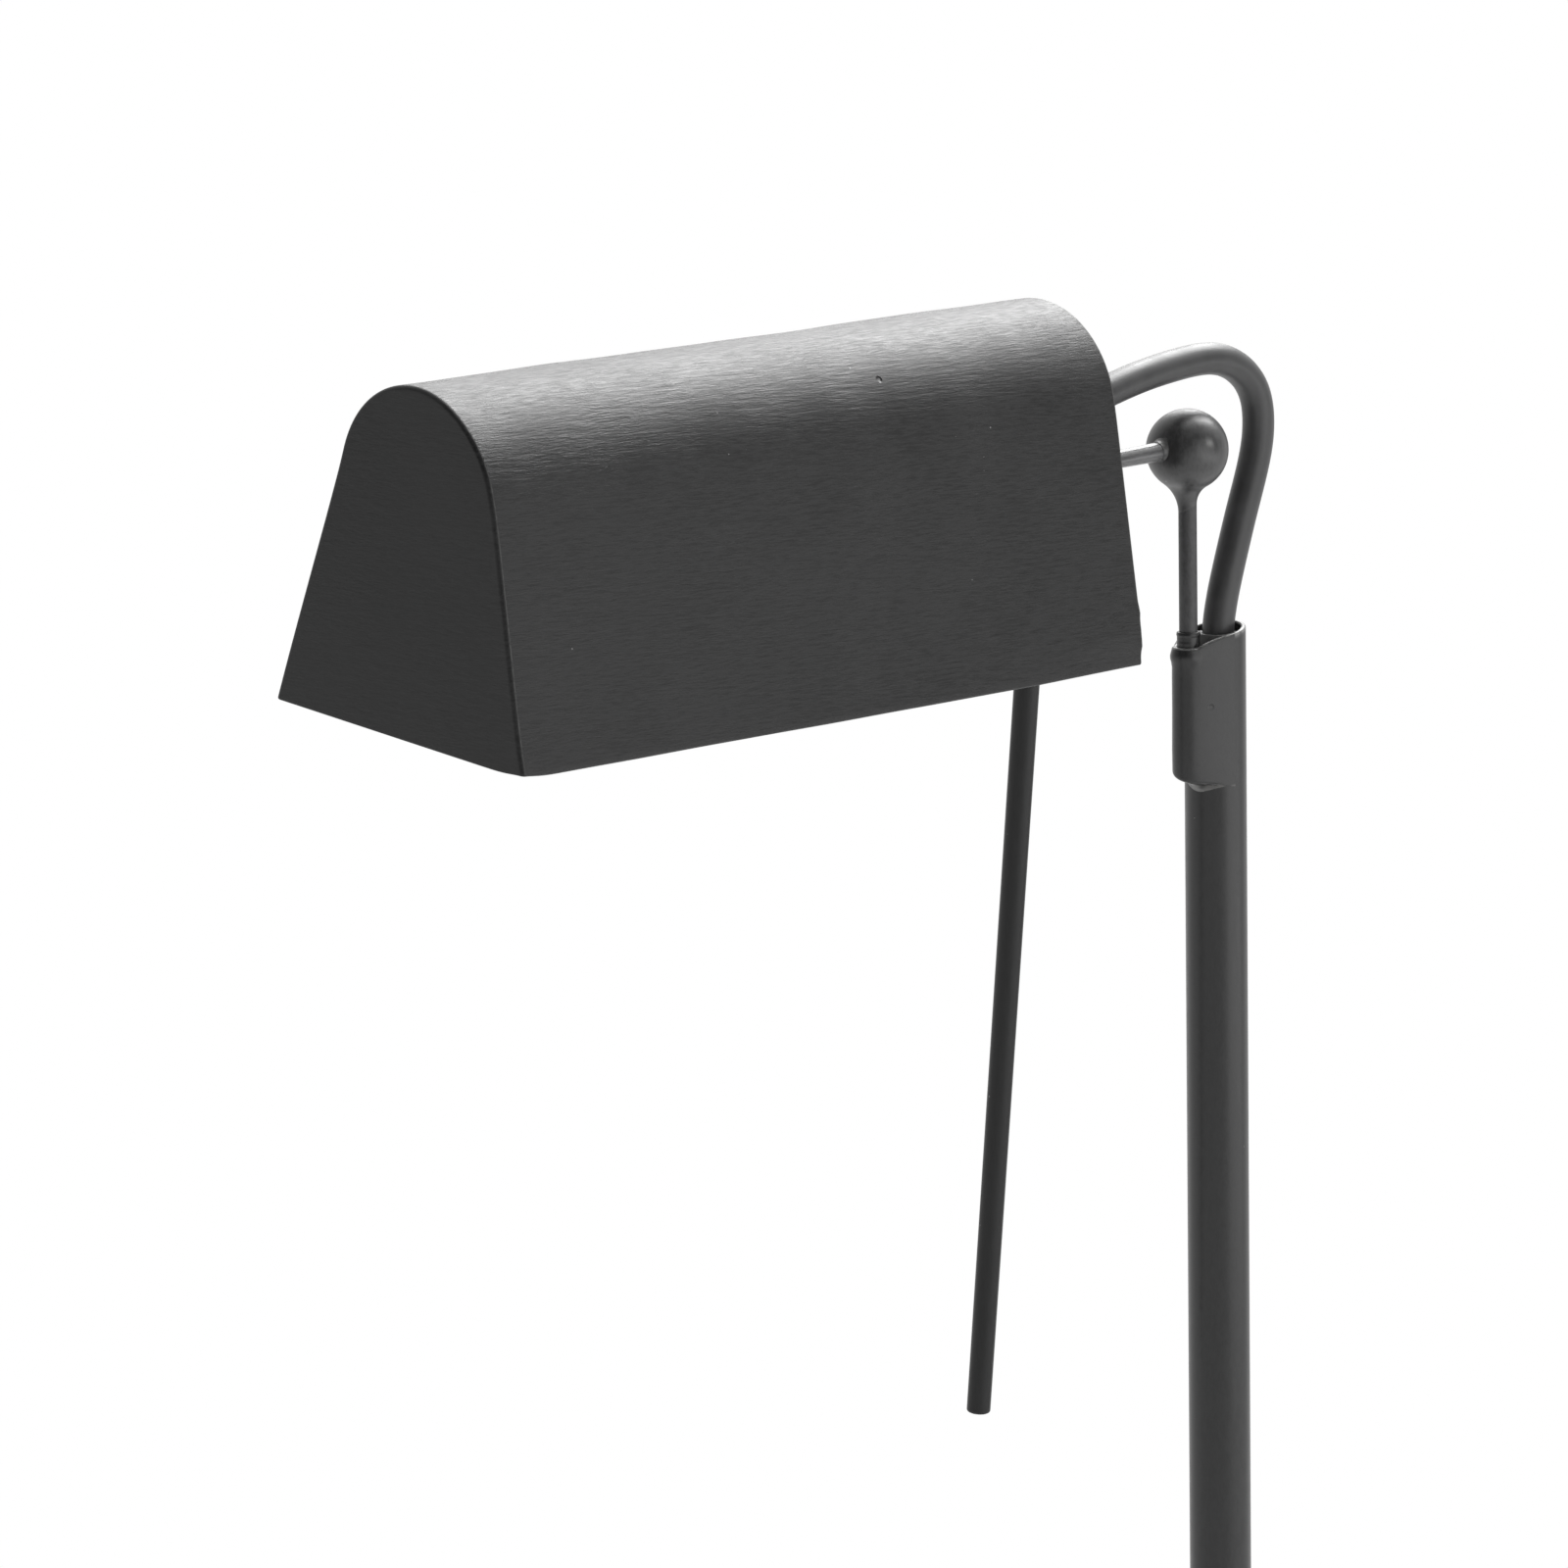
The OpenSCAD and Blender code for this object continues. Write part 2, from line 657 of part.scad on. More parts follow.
// A folded strip: foot on the rear cap, arm below, upright leg with the lampholder's hole
module lampholder_bracket() {
    cap_in = rear_x - cap_t;
    arm_l = cap_in - leg_x + bracket_t;
    color(steel) in_shade() difference() {
        union() {
            translate([cap_in - bracket_t, -bracket_w / 2, leg_base_z])
                cube([bracket_t, bracket_w, foot_top_z - leg_base_z]);
            translate([cap_in - arm_l, -bracket_w / 2, leg_base_z]) cube([arm_l, bracket_w, bracket_t]);
            translate([leg_x - bracket_t, -bracket_w / 2, leg_base_z])
                cube([bracket_t, bracket_w, leg_top_z - leg_base_z]);
            bar(leg_x, bracket_t, bracket_w, leg_top_z);
        }
        bar(leg_x + past, bracket_t + 2 * past, nipple_d + 2 * fit_gap, lamp_rise);
        bar(leg_x + past, bracket_t + 2 * past, earth_d + 2 * fit_gap, earth_z);
        for (z = handle_screw_z)
            bar(cap_in + past, bracket_t + 2 * past, handle_screw_d + 2 * fit_gap, z);
    }
}

module lampholder_nipple() {
    length = nipple_out + bracket_t + nipple_in;
    color(steel) in_shade() difference() {
        bar(leg_x + nipple_out, length, nipple_d, lamp_rise);
        bar(leg_x + nipple_out + past, length + 2 * past, nipple_bore, lamp_rise);
    }
}

module nipple_nut() {
    color(steel) in_shade()
        hex_nut(leg_x + nipple_nut_t, nipple_nut_t, nipple_nut_af, nipple_d + 2 * fit_gap, lamp_rise);
}

module lampholder_cap() {
    r = holder_d / 2;
    bore = nipple_d / 2 + fit_gap;
    thread_l = nipple_in - 2;
    color([0.06, 0.06, 0.06]) in_shade() turned(holder_x, [[bore, 0], [r - 5, 0], [r - 2, 3], [r, 8],
        [r, holder_cap_l], [r - holder_wall, holder_cap_l], [r - holder_wall, 9],
        [r - 4, thread_l], [bore, thread_l]], lamp_rise);
}

module lampholder_body() {
    r = holder_d / 2;
    mouth = lamp_cap_d / 2 + 0.2;
    color([0.06, 0.06, 0.06]) in_shade() turned(body_x - fit_gap, [[0, body_floor - 4],
        [r - holder_wall, body_floor - 4], [r - holder_wall, 0], [r, 0], [r, 5], [r - 0.7, 5.6],
        [r - 0.7, holder_body_l - 1], [r - 1.5, holder_body_l], [mouth, holder_body_l],
        [mouth, body_floor], [0, body_floor]], lamp_rise);
}

// Screw cap: rounded rings for the thread, a taper and a contact at its tip
module lamp_cap() {
    r = lamp_cap_d / 2;
    rings = 5;
    pitch = 2.8;
    tip = 3;
    thread = [for (i = [0:rings - 1]) each [[r - 0.6, tip + pitch * i], [r, tip + pitch * (i + 0.5)]]];
    color([0.75, 0.72, 0.66]) in_shade() turned(contact_x - 2 * fit_gap,
        concat([[0, 0], [2.4, 0], [2.6, 1.6]], thread, [[r - 0.6, tip + pitch * rings],
        [r - 0.1, tip + pitch * rings + 1], [r - 0.1, lamp_cap_l], [0, lamp_cap_l]]), lamp_rise);
}

module lamp_glass() {
    steps = 8;
    r = glass_d / 2;
    l = lamp_l - lamp_cap_l;
    neck = lamp_cap_d / 2 - 0.1;
    shoulder_l = 11;
    dome = 0.55 * r;
    outer = concat([[neck, 0], [neck + 1.4, 3]], [for (i = [0:steps]) let (a = 90 * i / steps)
        [neck + 1.4 + (r - neck - 1.4) * sin(a), shoulder_l - (shoulder_l - 5) * cos(a)]],
        [for (i = [0:steps]) let (a = 90 * i / steps) [r * cos(a), l - dome + dome * sin(a)]]);
    ri = r - glass_t;
    inner = concat([for (i = [steps:-1:0]) let (a = 90 * i / steps)
        [ri * cos(a), l - dome + (dome - glass_t) * sin(a)]], [for (i = [steps:-1:0]) let (a = 90 * i / steps)
        [neck + 1.4 - glass_t + (r - neck - 1.4) * sin(a), shoulder_l + 0.4 - (shoulder_l - 5) * cos(a)]],
        [[neck - glass_t, 0]]);
    color([0.95, 0.95, 0.92]) in_shade() turned(glass_x - 3 * fit_gap, concat(outer, inner), lamp_rise);
}

// Cores run from the end of the sheath: two into the nipple, the earth to its screw on the leg
core_start = rear_x - cap_t - sheath_in;
core_y = 1.7;
earth_d = 3;
earth_z = leg_top_z + 4.5;
module nipple_core(y) {
    drop = entry_rise - lamp_rise;
    in_shade() swept([[core_start, y, entry_rise], [core_start - 2.5, y, entry_rise],
        [core_start - 6.5, y, entry_rise - 0.35 * drop], [core_start - 10, y, entry_rise - 0.72 * drop],
        [leg_x + nipple_out + 1, y, lamp_rise + 0.3], [leg_x - 2, y, lamp_rise]], core_d, 8);
}

module live_core() {
    color([0.35, 0.17, 0.08]) nipple_core(core_y);
}

module neutral_core() {
    color([0.1, 0.25, 0.6]) nipple_core(-core_y);
}

module earth_core() {
    color([0.45, 0.62, 0.1]) in_shade() swept([[core_start, 0, entry_rise + core_y],
        [core_start - 2.5, 0, entry_rise + core_y], [core_start - 8, 0, entry_rise + core_y + 2.4],
        [leg_x + 7, 0, earth_z + 2.2], [leg_x + 4, 0, earth_z + 2.6], [leg_x + pan_head_h, 0, earth_z + 2.6]],
        core_d, 8);
}

module earth_screw() {
    color([0.75, 0.62, 0.3]) in_shade() translate([leg_x, 0, earth_z]) rotate([0, 90, 0]) {
        cylinder(h = pan_head_h, d1 = pan_head_d, d2 = pan_head_d - 1);
        translate([0, 0, -bracket_t - 2]) cylinder(h = bracket_t + 2, d = earth_d);
    }
}

module outlet_gland() {
    inner_end = recess_d / 2 - gland_in;
    outer_end = base_d / 2;
    color([0.05, 0.05, 0.05]) translate([inner_end, 0, gland_z]) rotate([0, 90, 0]) difference() {
        union() {
            cylinder(h = outer_end - inner_end, d = gland_d);
            translate([0, 0, outer_end - inner_end])
                cylinder(h = gland_flange_t, d1 = gland_flange_d, d2 = gland_flange_d - 3);
        }
        translate([0, 0, -past])
            cylinder(h = outer_end - inner_end + gland_flange_t + 2 * past, d = gland_bore);
    }
}

// Terminal block under the roof, with one clamp a core and one screw into the roof
block_screw_d = 2.5;
block_screw_bite = 3;
block_z = roof_z - block_h;
core_hole_z = block_z + block_h / 2;
module at_block_screw() {
    translate([block_x + block_l / 2, block_pitch / 2, block_z]) children();
}

module terminal_block() {
    color([0.9, 0.9, 0.87]) difference() {
        translate([block_x, -block_w / 2, block_z]) cube([block_l, block_w, block_h]);
        for (i = [-1:1]) {
            translate([block_x - past, i * block_pitch, core_hole_z]) rotate([0, 90, 0])
                cylinder(h = block_l + 2 * past, d = block_hole_d);
            translate([block_x + 3.5, i * block_pitch, block_z - past]) cylinder(h = 2.4 + past, d = 3);
        }
        at_block_screw() translate([0, 0, -past])
            cylinder(h = block_h + 2 * past, d = block_screw_d + 2 * fit_gap);
    }
}

module terminal_screws() {
    color(steel) {
        at_block_screw() {
            cylinder(h = block_h + block_screw_bite, d = block_screw_d);
            translate([0, 0, -1.2]) cylinder(h = 1.2, d1 = 3.4, d2 = 4.4);
        }
        for (i = [-1:1])
            translate([block_x + 3.5, i * block_pitch, block_z - 0.2])
                cylinder(h = 2.5, d = 3 - 2 * fit_gap);
    }
}

module base_cores() {
    dip = pole_foot - core_d / 2 - 0.8;
    color([0.35, 0.17, 0.08]) for (i = [-1:1])
        swept([[lead_x, 1.9 * i, pole_foot + sheath_up], [lead_x, 1.9 * i, pole_foot + 1],
            [lead_x + 1.8, 2.2 * i, dip + 0.3], [lead_x + 5, 3 * i, dip - 0.2],
            [block_x - 6, 5.5 * i, dip + 0.6], [block_x - 2.5, block_pitch * i, core_hole_z - 1],
            [block_x + 0.5, block_pitch * i, core_hole_z], [block_x + 5, block_pitch * i, core_hole_z]],
            core_d, 8);
}

// Two cores from the block's far side round the pole's nut to the switch
module switch_cores() {
    y = block_w / 2 + 3;
    color([0.1, 0.25, 0.6]) for (i = [-1, 1])
        swept([[block_x + 8, block_pitch * i, core_hole_z],
            [block_x + block_l + 1, block_pitch * i, core_hole_z],
            [block_x + block_l + 4, (block_pitch + 1.5) * i, core_hole_z],
            [block_x + block_l + 4.5, (y - 2.5) * i, core_hole_z],
            [block_x + block_l + 1, y * i, core_hole_z], [block_x, (y + 0.5) * i, core_hole_z],
            [0, (y + 1) * i, core_hole_z], [-14, y * i, core_hole_z],
            [-22, (y - 6) * i, core_hole_z], [2 - switch_reach + switch_can_d / 2, 4 * i, core_hole_z],
            [0.1 - switch_reach + switch_can_d / 2, 3 * i, core_hole_z]], core_d, 8, [0, 0, 1]);
}

// Switch: a can under the roof and a threaded barrel through it, with the button's bore
module switch_body() {
    color([0.06, 0.06, 0.06]) translate([-switch_reach, 0, 0]) difference() {
        union() {
            translate([0, 0, roof_z - switch_can_h]) cylinder(h = switch_can_h, d = switch_can_d);
            translate([0, 0, roof_z - past]) cylinder(h = ring_top - roof_z + past, d = switch_d);
        }
        translate([0, 0, ring_top - button_in - button_travel - 0.5])
            cylinder(h = ball_z, d = button_d + 2 * run_gap);
    }
}

module switch_ring_nut() {
    color(black) translate([-switch_reach, 0, base_top]) difference() {
        cylinder(h = ring_nut_t, d1 = ring_nut_d, d2 = ring_nut_d - 1.5);
        translate([0, 0, -past]) cylinder(h = ring_nut_t + 2 * past, d = switch_d + 2 * fit_gap);
    }
}

module switch_button() {
    crown = 1;
    color([0.06, 0.06, 0.06]) translate([-switch_reach, 0, ring_top - button_in]) {
        cylinder(h = button_in + button_rise - crown, d = button_d);
        translate([0, 0, button_in + button_rise - crown])
            cylinder(h = crown, d1 = button_d, d2 = button_d - 2 * crown);
    }
}

base_disc();
base_cover();
base_cover_screws();
base_felt();
pole();
pole_collar();
pole_washer();
pole_nut();
pole_sleeve();
stem_socket();
swivel_bush();
outlet_gland();
terminal_block();
terminal_screws();
base_cores();
switch_cores();
switch_body();
switch_ring_nut();
switch_button();
swivel_stem();
knuckle_ball();
tilt_rod();
stop_collar();
outer_friction_washer();
inner_friction_washer();
spring_washer();
lock_nut();
shade_shell();
front_cap();
rear_cap();
pivot_bush();
handle_rod();
handle_screws();
cable_grommet();
lead_in_pole();
lead_lower();
lead_upper();
lampholder_bracket();
lampholder_nipple();
nipple_nut();
lampholder_cap();
lampholder_body();
lamp_cap();
lamp_glass();
live_core();
neutral_core();
earth_core();
earth_screw();
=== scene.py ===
"""Looks of a small black lamp: an arched shade on a ball knuckle, on a tube pole with a round base."""
import json
import math

import bmesh
import bpy
import numpy as np
from mathutils import Matrix, Vector


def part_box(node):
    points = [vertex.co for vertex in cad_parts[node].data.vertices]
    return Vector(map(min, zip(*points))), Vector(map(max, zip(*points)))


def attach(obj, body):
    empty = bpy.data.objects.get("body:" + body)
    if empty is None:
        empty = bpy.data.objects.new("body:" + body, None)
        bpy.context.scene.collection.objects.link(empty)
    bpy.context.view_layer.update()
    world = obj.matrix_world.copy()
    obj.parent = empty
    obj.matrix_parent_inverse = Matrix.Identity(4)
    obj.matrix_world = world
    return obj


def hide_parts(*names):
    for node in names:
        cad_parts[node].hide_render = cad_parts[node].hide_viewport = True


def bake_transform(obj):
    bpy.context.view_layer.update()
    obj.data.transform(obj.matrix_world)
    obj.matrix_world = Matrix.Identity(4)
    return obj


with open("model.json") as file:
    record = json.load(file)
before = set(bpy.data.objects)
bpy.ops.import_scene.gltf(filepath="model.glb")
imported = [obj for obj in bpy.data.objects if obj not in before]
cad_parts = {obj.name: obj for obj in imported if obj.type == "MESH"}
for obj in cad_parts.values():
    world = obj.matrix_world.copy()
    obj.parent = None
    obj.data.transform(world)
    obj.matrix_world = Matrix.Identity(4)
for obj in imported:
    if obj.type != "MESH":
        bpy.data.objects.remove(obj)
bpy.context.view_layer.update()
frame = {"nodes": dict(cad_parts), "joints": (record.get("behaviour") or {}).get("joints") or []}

MM = 0.001
FULL = 2 * math.pi
NODES = frame["nodes"]

# The ball's centre, where the stem's axis meets the tilt axis
BALL = np.array(next(joint["pos_m"] for joint in frame["joints"] if joint["name"] == "tilt"))
# Lean of the shade at rest, about the tilt rod
LEAN = math.radians(6.2)
# Drop from the ball's centre to the top and the foot of the stem's socket
SOCKET_DROP, SOCKET_FOOT = 37.9 * MM, 64.4 * MM
# Height of the braze at the socket's foot, how far it falls, and its slope towards y
BRAZE_FOOT, BRAZE_FALL, BRAZE_SLOPE = BALL[2] - SOCKET_FOOT + 0.55 * MM, 2.6 * MM, 0.29
# Outer radius of the lead, and of one of its cores
LEAD_R, CORE_R = 3.1 * MM, 0.9 * MM


# Places

def from_ball(x, y, z):
    """A point given in mm from the ball's centre."""
    return tuple(BALL + np.array([x, y, z]) * MM)


def corners(node):
    """Lowest and highest corner of a CAD node, as arrays."""
    low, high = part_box(node)
    return np.array(low), np.array(high)


def upright(node):
    """A CAD node that is round about z: the place of its axis, its radius and the heights of its ends."""
    low, high = corners(node)
    return (low + high)[:2] / 2, (high - low)[1] / 2, low[2], high[2]


def leaned(points, angle):
    """Turns points about x by an angle."""
    x, y, z = np.moveaxis(np.asarray(points, float), -1, 0)
    c, s = math.cos(angle), math.sin(angle)
    return np.stack([x, c * y - s * z, s * y + c * z], -1)


def from_shade(points):
    """Carries points from the shade's own frame, whose origin is the ball's centre, to the lamp's."""
    return leaned(points, LEAN) + BALL


def shade_corners(node):
    """Lowest and highest corner of a CAD node in the shade's own frame."""
    points = np.array([v.co for v in NODES[node].data.vertices], float)
    local = leaned(points - BALL, -LEAN)
    return local.min(0), local.max(0)


def lying(node):
    """A CAD node round about the shade's x: its radius, its axis's height, its rear end and its length."""
    low, high = shade_corners(node)
    return (high - low)[1] / 2, (low + high)[2] / 2, high[0], (high - low)[0]


# Corners of the shade's end caps, and the stations of its front and rear faces
CAP_LOW, CAP_HIGH = shade_corners("front_cap")
REAR_LOW, REAR_HIGH = shade_corners("rear_cap")
FRONT_X, REAR_X = CAP_LOW[0], REAR_HIGH[0]


# Surfaces

def circle(steps):
    """Equal steps round a full turn."""
    return np.linspace(0, FULL, steps, endpoint=False)


def quarter(steps):
    """Equal steps through a quarter turn, with both of its ends."""
    return np.linspace(0, math.pi / 2, steps)


def unit(vectors):
    """Vectors brought to length 1."""
    return vectors / np.linalg.norm(vectors, axis=-1, keepdims=True)


def ease(t):
    """Smooth step from 0 to 1."""
    t = np.clip(t, 0, 1)
    return t * t * (3 - 2 * t)


def bell(t):
    """Bell curve that is 1 at 0."""
    return np.exp(-t ** 2)


def ripples(table, u, v):
    """Sum of sines over two coordinates. A row of the table is an amount in mm, two rates and a phase."""
    return sum(amount * MM * np.sin(a * u + b * v + phase) for amount, a, b, phase in table)


def ring(radius, a, height):
    """Points at angles round the z axis, from their radius and height."""
    return np.stack(np.broadcast_arrays(radius * np.cos(a), radius * np.sin(a), height + 0 * a), -1)


def rounded(points, steps=7):
    """Polyline through corners (x, y, radius): each corner is cut by an arc that touches both of its sides,
    with a point on each side close to the arc so that the flats keep their shading."""
    points = [np.array(p, float) for p in points]
    out = [points[0][None, :2]]
    for before, corner, after in zip(points, points[1:], points[2:]):
        p, radius = corner[:2], corner[2] if len(corner) > 2 else 0
        if radius == 0:
            out.append(p[None])
            continue
        a, b = unit(before[:2] - p), unit(after[:2] - p)
        half = math.acos(np.clip(a @ b, -1, 1)) / 2
        centre = p + unit(a + b) * radius / math.sin(half)
        start, end = (p + v * radius / math.tan(half) - centre for v in (a, b))
        sweep = math.pi - 2 * half
        t = np.linspace(0, 1, steps)[:, None]
        arc = (np.sin((1 - t) * sweep) * start + np.sin(t * sweep) * end) / math.sin(sweep)
        guard = 0.3 * radius
        out += [(centre + start + guard * a)[None], centre + arc, (centre + end + guard * b)[None]]
    out.append(points[-1][None, :2])
    return np.concatenate(out)


def ring_section(inner, outer, length, edge):
    """Closed section of a ring, (radius, height), with its four edges rounded."""
    middle = (inner + outer) / 2
    return rounded([(middle, 0), (outer, 0, edge), (outer, length, edge), (inner, length, edge),
                    (inner, 0, edge), (middle, 0)], 5)


def post_section(radius, low, high, edge):
    """Section of a solid round post, (radius, height), with both of its edges rounded."""
    return rounded([(0, low), (radius, low, edge), (radius, high, edge), (0, high)], 5)


def turned(profile, columns=72):
    """Body of revolution: profile points (radius, height) are carried round the z axis in equal steps."""
    r, h = np.asarray(profile, float).T[:, :, None]
    return ring(r, circle(columns), h)


def fluted(grid, share, count):
    """A turned body, drawn in by a share of its radius where a cosine round its axis is high."""
    wave = 0.5 + 0.5 * np.cos(count * circle(grid.shape[1]))
    return grid * np.stack([1 - share * wave, 1 - share * wave, np.ones_like(share * wave)], -1)


def standing(grid, place):
    """Moves a body of revolution so that its axis stands at a place (x, y)."""
    return grid + np.array([*place, 0])


def in_lamp_line(grid, x, z=0.0):
    """Lays a turned body along the shade: its height runs from x to the front, its axis is at height z."""
    u, v, h = np.moveaxis(grid, -1, 0)
    return from_shade(np.stack([x - h, u, z + v], -1))


def flowing(points, per_span=10):
    """Smooth path through points: on each span a cubic whose end slopes weigh the two chords that meet
    there by the other's length."""
    p = np.asarray(points, float)
    p = np.concatenate([[2 * p[0] - p[1]], p, [2 * p[-1] - p[-2]]])
    chord = np.diff(p, axis=0)
    size = np.linalg.norm(chord, axis=1)[:, None]
    slope = chord / size
    slope = (slope[:-1] * size[1:] + slope[1:] * size[:-1]) / (size[:-1] + size[1:])
    t = np.linspace(0, 1, per_span, endpoint=False)[None, :, None]
    start, end = p[1:-2, None], p[2:-1, None]
    out, into = (slope[:-1] * size[1:-1])[:, None], (slope[1:] * size[1:-1])[:, None]
    bend, twist = 3 * (end - start) - 2 * out - into, 2 * (start - end) + out + into
    spans = start + out * t + bend * t ** 2 + twist * t ** 3
    return np.concatenate([spans.reshape(-1, 3), p[-2:-1]])


def evened(path, step, width):
    """The same path at even steps, smoothed by a bell curve whose width falls to nothing at both ends."""
    along = np.concatenate([[0], np.cumsum(np.linalg.norm(np.diff(path, axis=0), axis=1))])
    at = np.linspace(0, along[-1], round(along[-1] / step) + 1)
    even = np.column_stack([np.interp(at, along, v) for v in path.T])
    reach = np.maximum(np.minimum(width, np.minimum(at, at[-1] - at) / 3), 1e-6)[:, None]
    weight = np.exp(-((at[None] - at[:, None]) / reach) ** 2 / 2)
    return weight @ even / weight.sum(1)[:, None]


def rings_along(path, radius, sides=28):
    """Round section carried along a path that stays near an xz plane: each ring is square to the path, and
    its first spoke is square to y."""
    t = unit(np.gradient(path, axis=0))
    n = unit(np.cross([0, 1, 0], t))
    b = np.cross(t, n)
    a = circle(sides)[None, :, None]
    return path[:, None] + radius * (np.cos(a) * n[:, None] + np.sin(a) * b[:, None])


def capped(rings, first, last):
    """Rings with both ends closed on a point."""
    ends = [np.broadcast_to(point, (1, *rings.shape[1:])) for point in (first, last)]
    return np.concatenate([ends[0], rings, ends[1]])


def mesh_of(name, *grids, worn=None):
    """Mesh of quads over grids of points (rows, columns, 3). The last column joins the first, a row of
    equal points becomes a pole, doubles are merged and the faces turned outwards. The share of pale wear
    and painted highlight, an array for each grid, is kept as an attribute."""
    verts, faces, base = [], [], 0
    for grid in grids:
        rows, cols = grid.shape[:2]
        i, j = np.meshgrid(np.arange(rows - 1), np.arange(cols), indexing="ij")
        k = (j + 1) % cols
        quads = np.stack([i * cols + j, i * cols + k, (i + 1) * cols + k, (i + 1) * cols + j], -1)
        verts.append(grid.reshape(-1, 3))
        faces.append(quads.reshape(-1, 4) + base)
        base += rows * cols
    verts, faces = np.concatenate(verts), np.concatenate(faces)
    mesh = bpy.data.meshes.new(name)
    mesh.vertices.add(len(verts))
    mesh.vertices.foreach_set("co", verts.astype(np.float32).ravel())
    mesh.loops.add(faces.size)
    mesh.loops.foreach_set("vertex_index", faces.astype(np.int32).ravel())
    mesh.polygons.add(len(faces))
    mesh.polygons.foreach_set("loop_start", np.arange(0, faces.size, 4, dtype=np.int32))
    mesh.update(calc_edges=True)
    if worn is not None:
        shares = [np.broadcast_to(share, grid.shape[:2]).ravel() for share, grid in zip(worn, grids)]
        kept = mesh.attributes.new("worn", "FLOAT", "POINT")
        kept.data.foreach_set("value", np.concatenate(shares).astype(np.float32))
    merged = bmesh.new()
    merged.from_mesh(mesh)
    bmesh.ops.remove_doubles(merged, verts=merged.verts, dist=0.002 * MM)
    bmesh.ops.recalc_face_normals(merged, faces=merged.faces)
    merged.to_mesh(mesh)
    merged.free()
    mesh.polygons.foreach_set("use_smooth", np.ones(len(mesh.polygons), bool))
    mesh.set_sharp_from_angle(angle=math.radians(42))
    return mesh


def added(name, data):
    """A new object in the scene."""
    obj = bpy.data.objects.new(name, data)
    bpy.context.scene.collection.objects.link(obj)
    return obj


def piece(name, body, material, node, *grids, worn=None):
    """A new piece from grids: it rides on a body, if one is given, and stands for a CAD node, which it
    hides."""
    obj = added(name, mesh_of(name, *grids, worn=worn))
    obj.data.materials.append(material)
    if body:
        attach(obj, body)
    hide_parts(node)
    return obj


# Shader nodes

def new_tree(holder):
    """The emptied node tree of a new material or world."""
    holder.use_nodes = True
    holder.node_tree.nodes.clear()
    return holder.node_tree


def put(tree, kind, inputs=None, **settings):
    """Adds a shader node: settings are its properties, inputs are values or sockets, by name or place."""
    made = tree.nodes.new("ShaderNode" + kind)
    for name, value in settings.items():
        setattr(made, name, value)
    for name, value in (inputs or {}).items():
        if isinstance(value, bpy.types.NodeSocket):
            tree.links.new(value, made.inputs[name])
        else:
            made.inputs[name].default_value = value
    return made


def use_group(tree, group, **inputs):
    """Places a shared group with its own values and returns its outputs."""
    return put(tree, "Group", inputs, node_tree=group).outputs


def math_of(tree, operation, *values):
    """A Math node's result."""
    return put(tree, "Math", dict(enumerate(values)), operation=operation).outputs[0]


def vector_of(tree, operation, *values):
    """A Vector Math node's outputs."""
    return put(tree, "VectorMath", dict(enumerate(values)), operation=operation).outputs


def weighed(tree, first, second, share):
    """The mean of two values, by the second one's share."""
    return put(tree, "Mix", {0: share, 2: first, 3: second}).outputs[0]


def mixed(tree, factor, *colours):
    """A colour between two by a factor. Each of them is a colour or a socket."""
    first, second = (c if isinstance(c, bpy.types.NodeSocket) else (*c, 1) for c in colours)
    return put(tree, "Mix", {0: factor, 6: first, 7: second}, data_type="RGBA").outputs[2]


def spread(tree, value, low, high, to_low=0.0, to_high=1.0):
    """A value mapped from one range to another, clamped, with soft ends."""
    inputs = {"Value": value, "From Min": low, "From Max": high, "To Min": to_low, "To Max": to_high}
    return put(tree, "MapRange", inputs, interpolation_type="SMOOTHSTEP").outputs[0]


def noise(tree, vector, scale, detail=2.0, roughness=0.5):
    """A noise texture's value, with scale in waves a metre."""
    inputs = {"Vector": vector, "Scale": scale, "Detail": detail, "Roughness": roughness}
    return put(tree, "TexNoise", inputs).outputs[0]


def bump(tree, height, depth, normal=None):
    """A normal from a height of 0 to 1 that stands for a depth in metres."""
    inputs = {"Height": height, "Distance": depth}
    if normal:
        inputs["Normal"] = normal
    return put(tree, "Bump", inputs).outputs[0]


def new_group(name, numbers, outputs):
    """A node group that takes a vector and named numbers with defaults, and puts out named values."""
    group = bpy.data.node_groups.new(name, "ShaderNodeTree")
    group.interface.new_socket("Vector", in_out="INPUT", socket_type="NodeSocketVector")
    for label, default in numbers.items():
        socket = group.interface.new_socket(label, in_out="INPUT", socket_type="NodeSocketFloat")
        socket.default_value = default
    for label in outputs:
        group.interface.new_socket(label, in_out="OUTPUT", socket_type="NodeSocketFloat")
    return group, group.nodes.new("NodeGroupInput").outputs, group.nodes.new("NodeGroupOutput").inputs


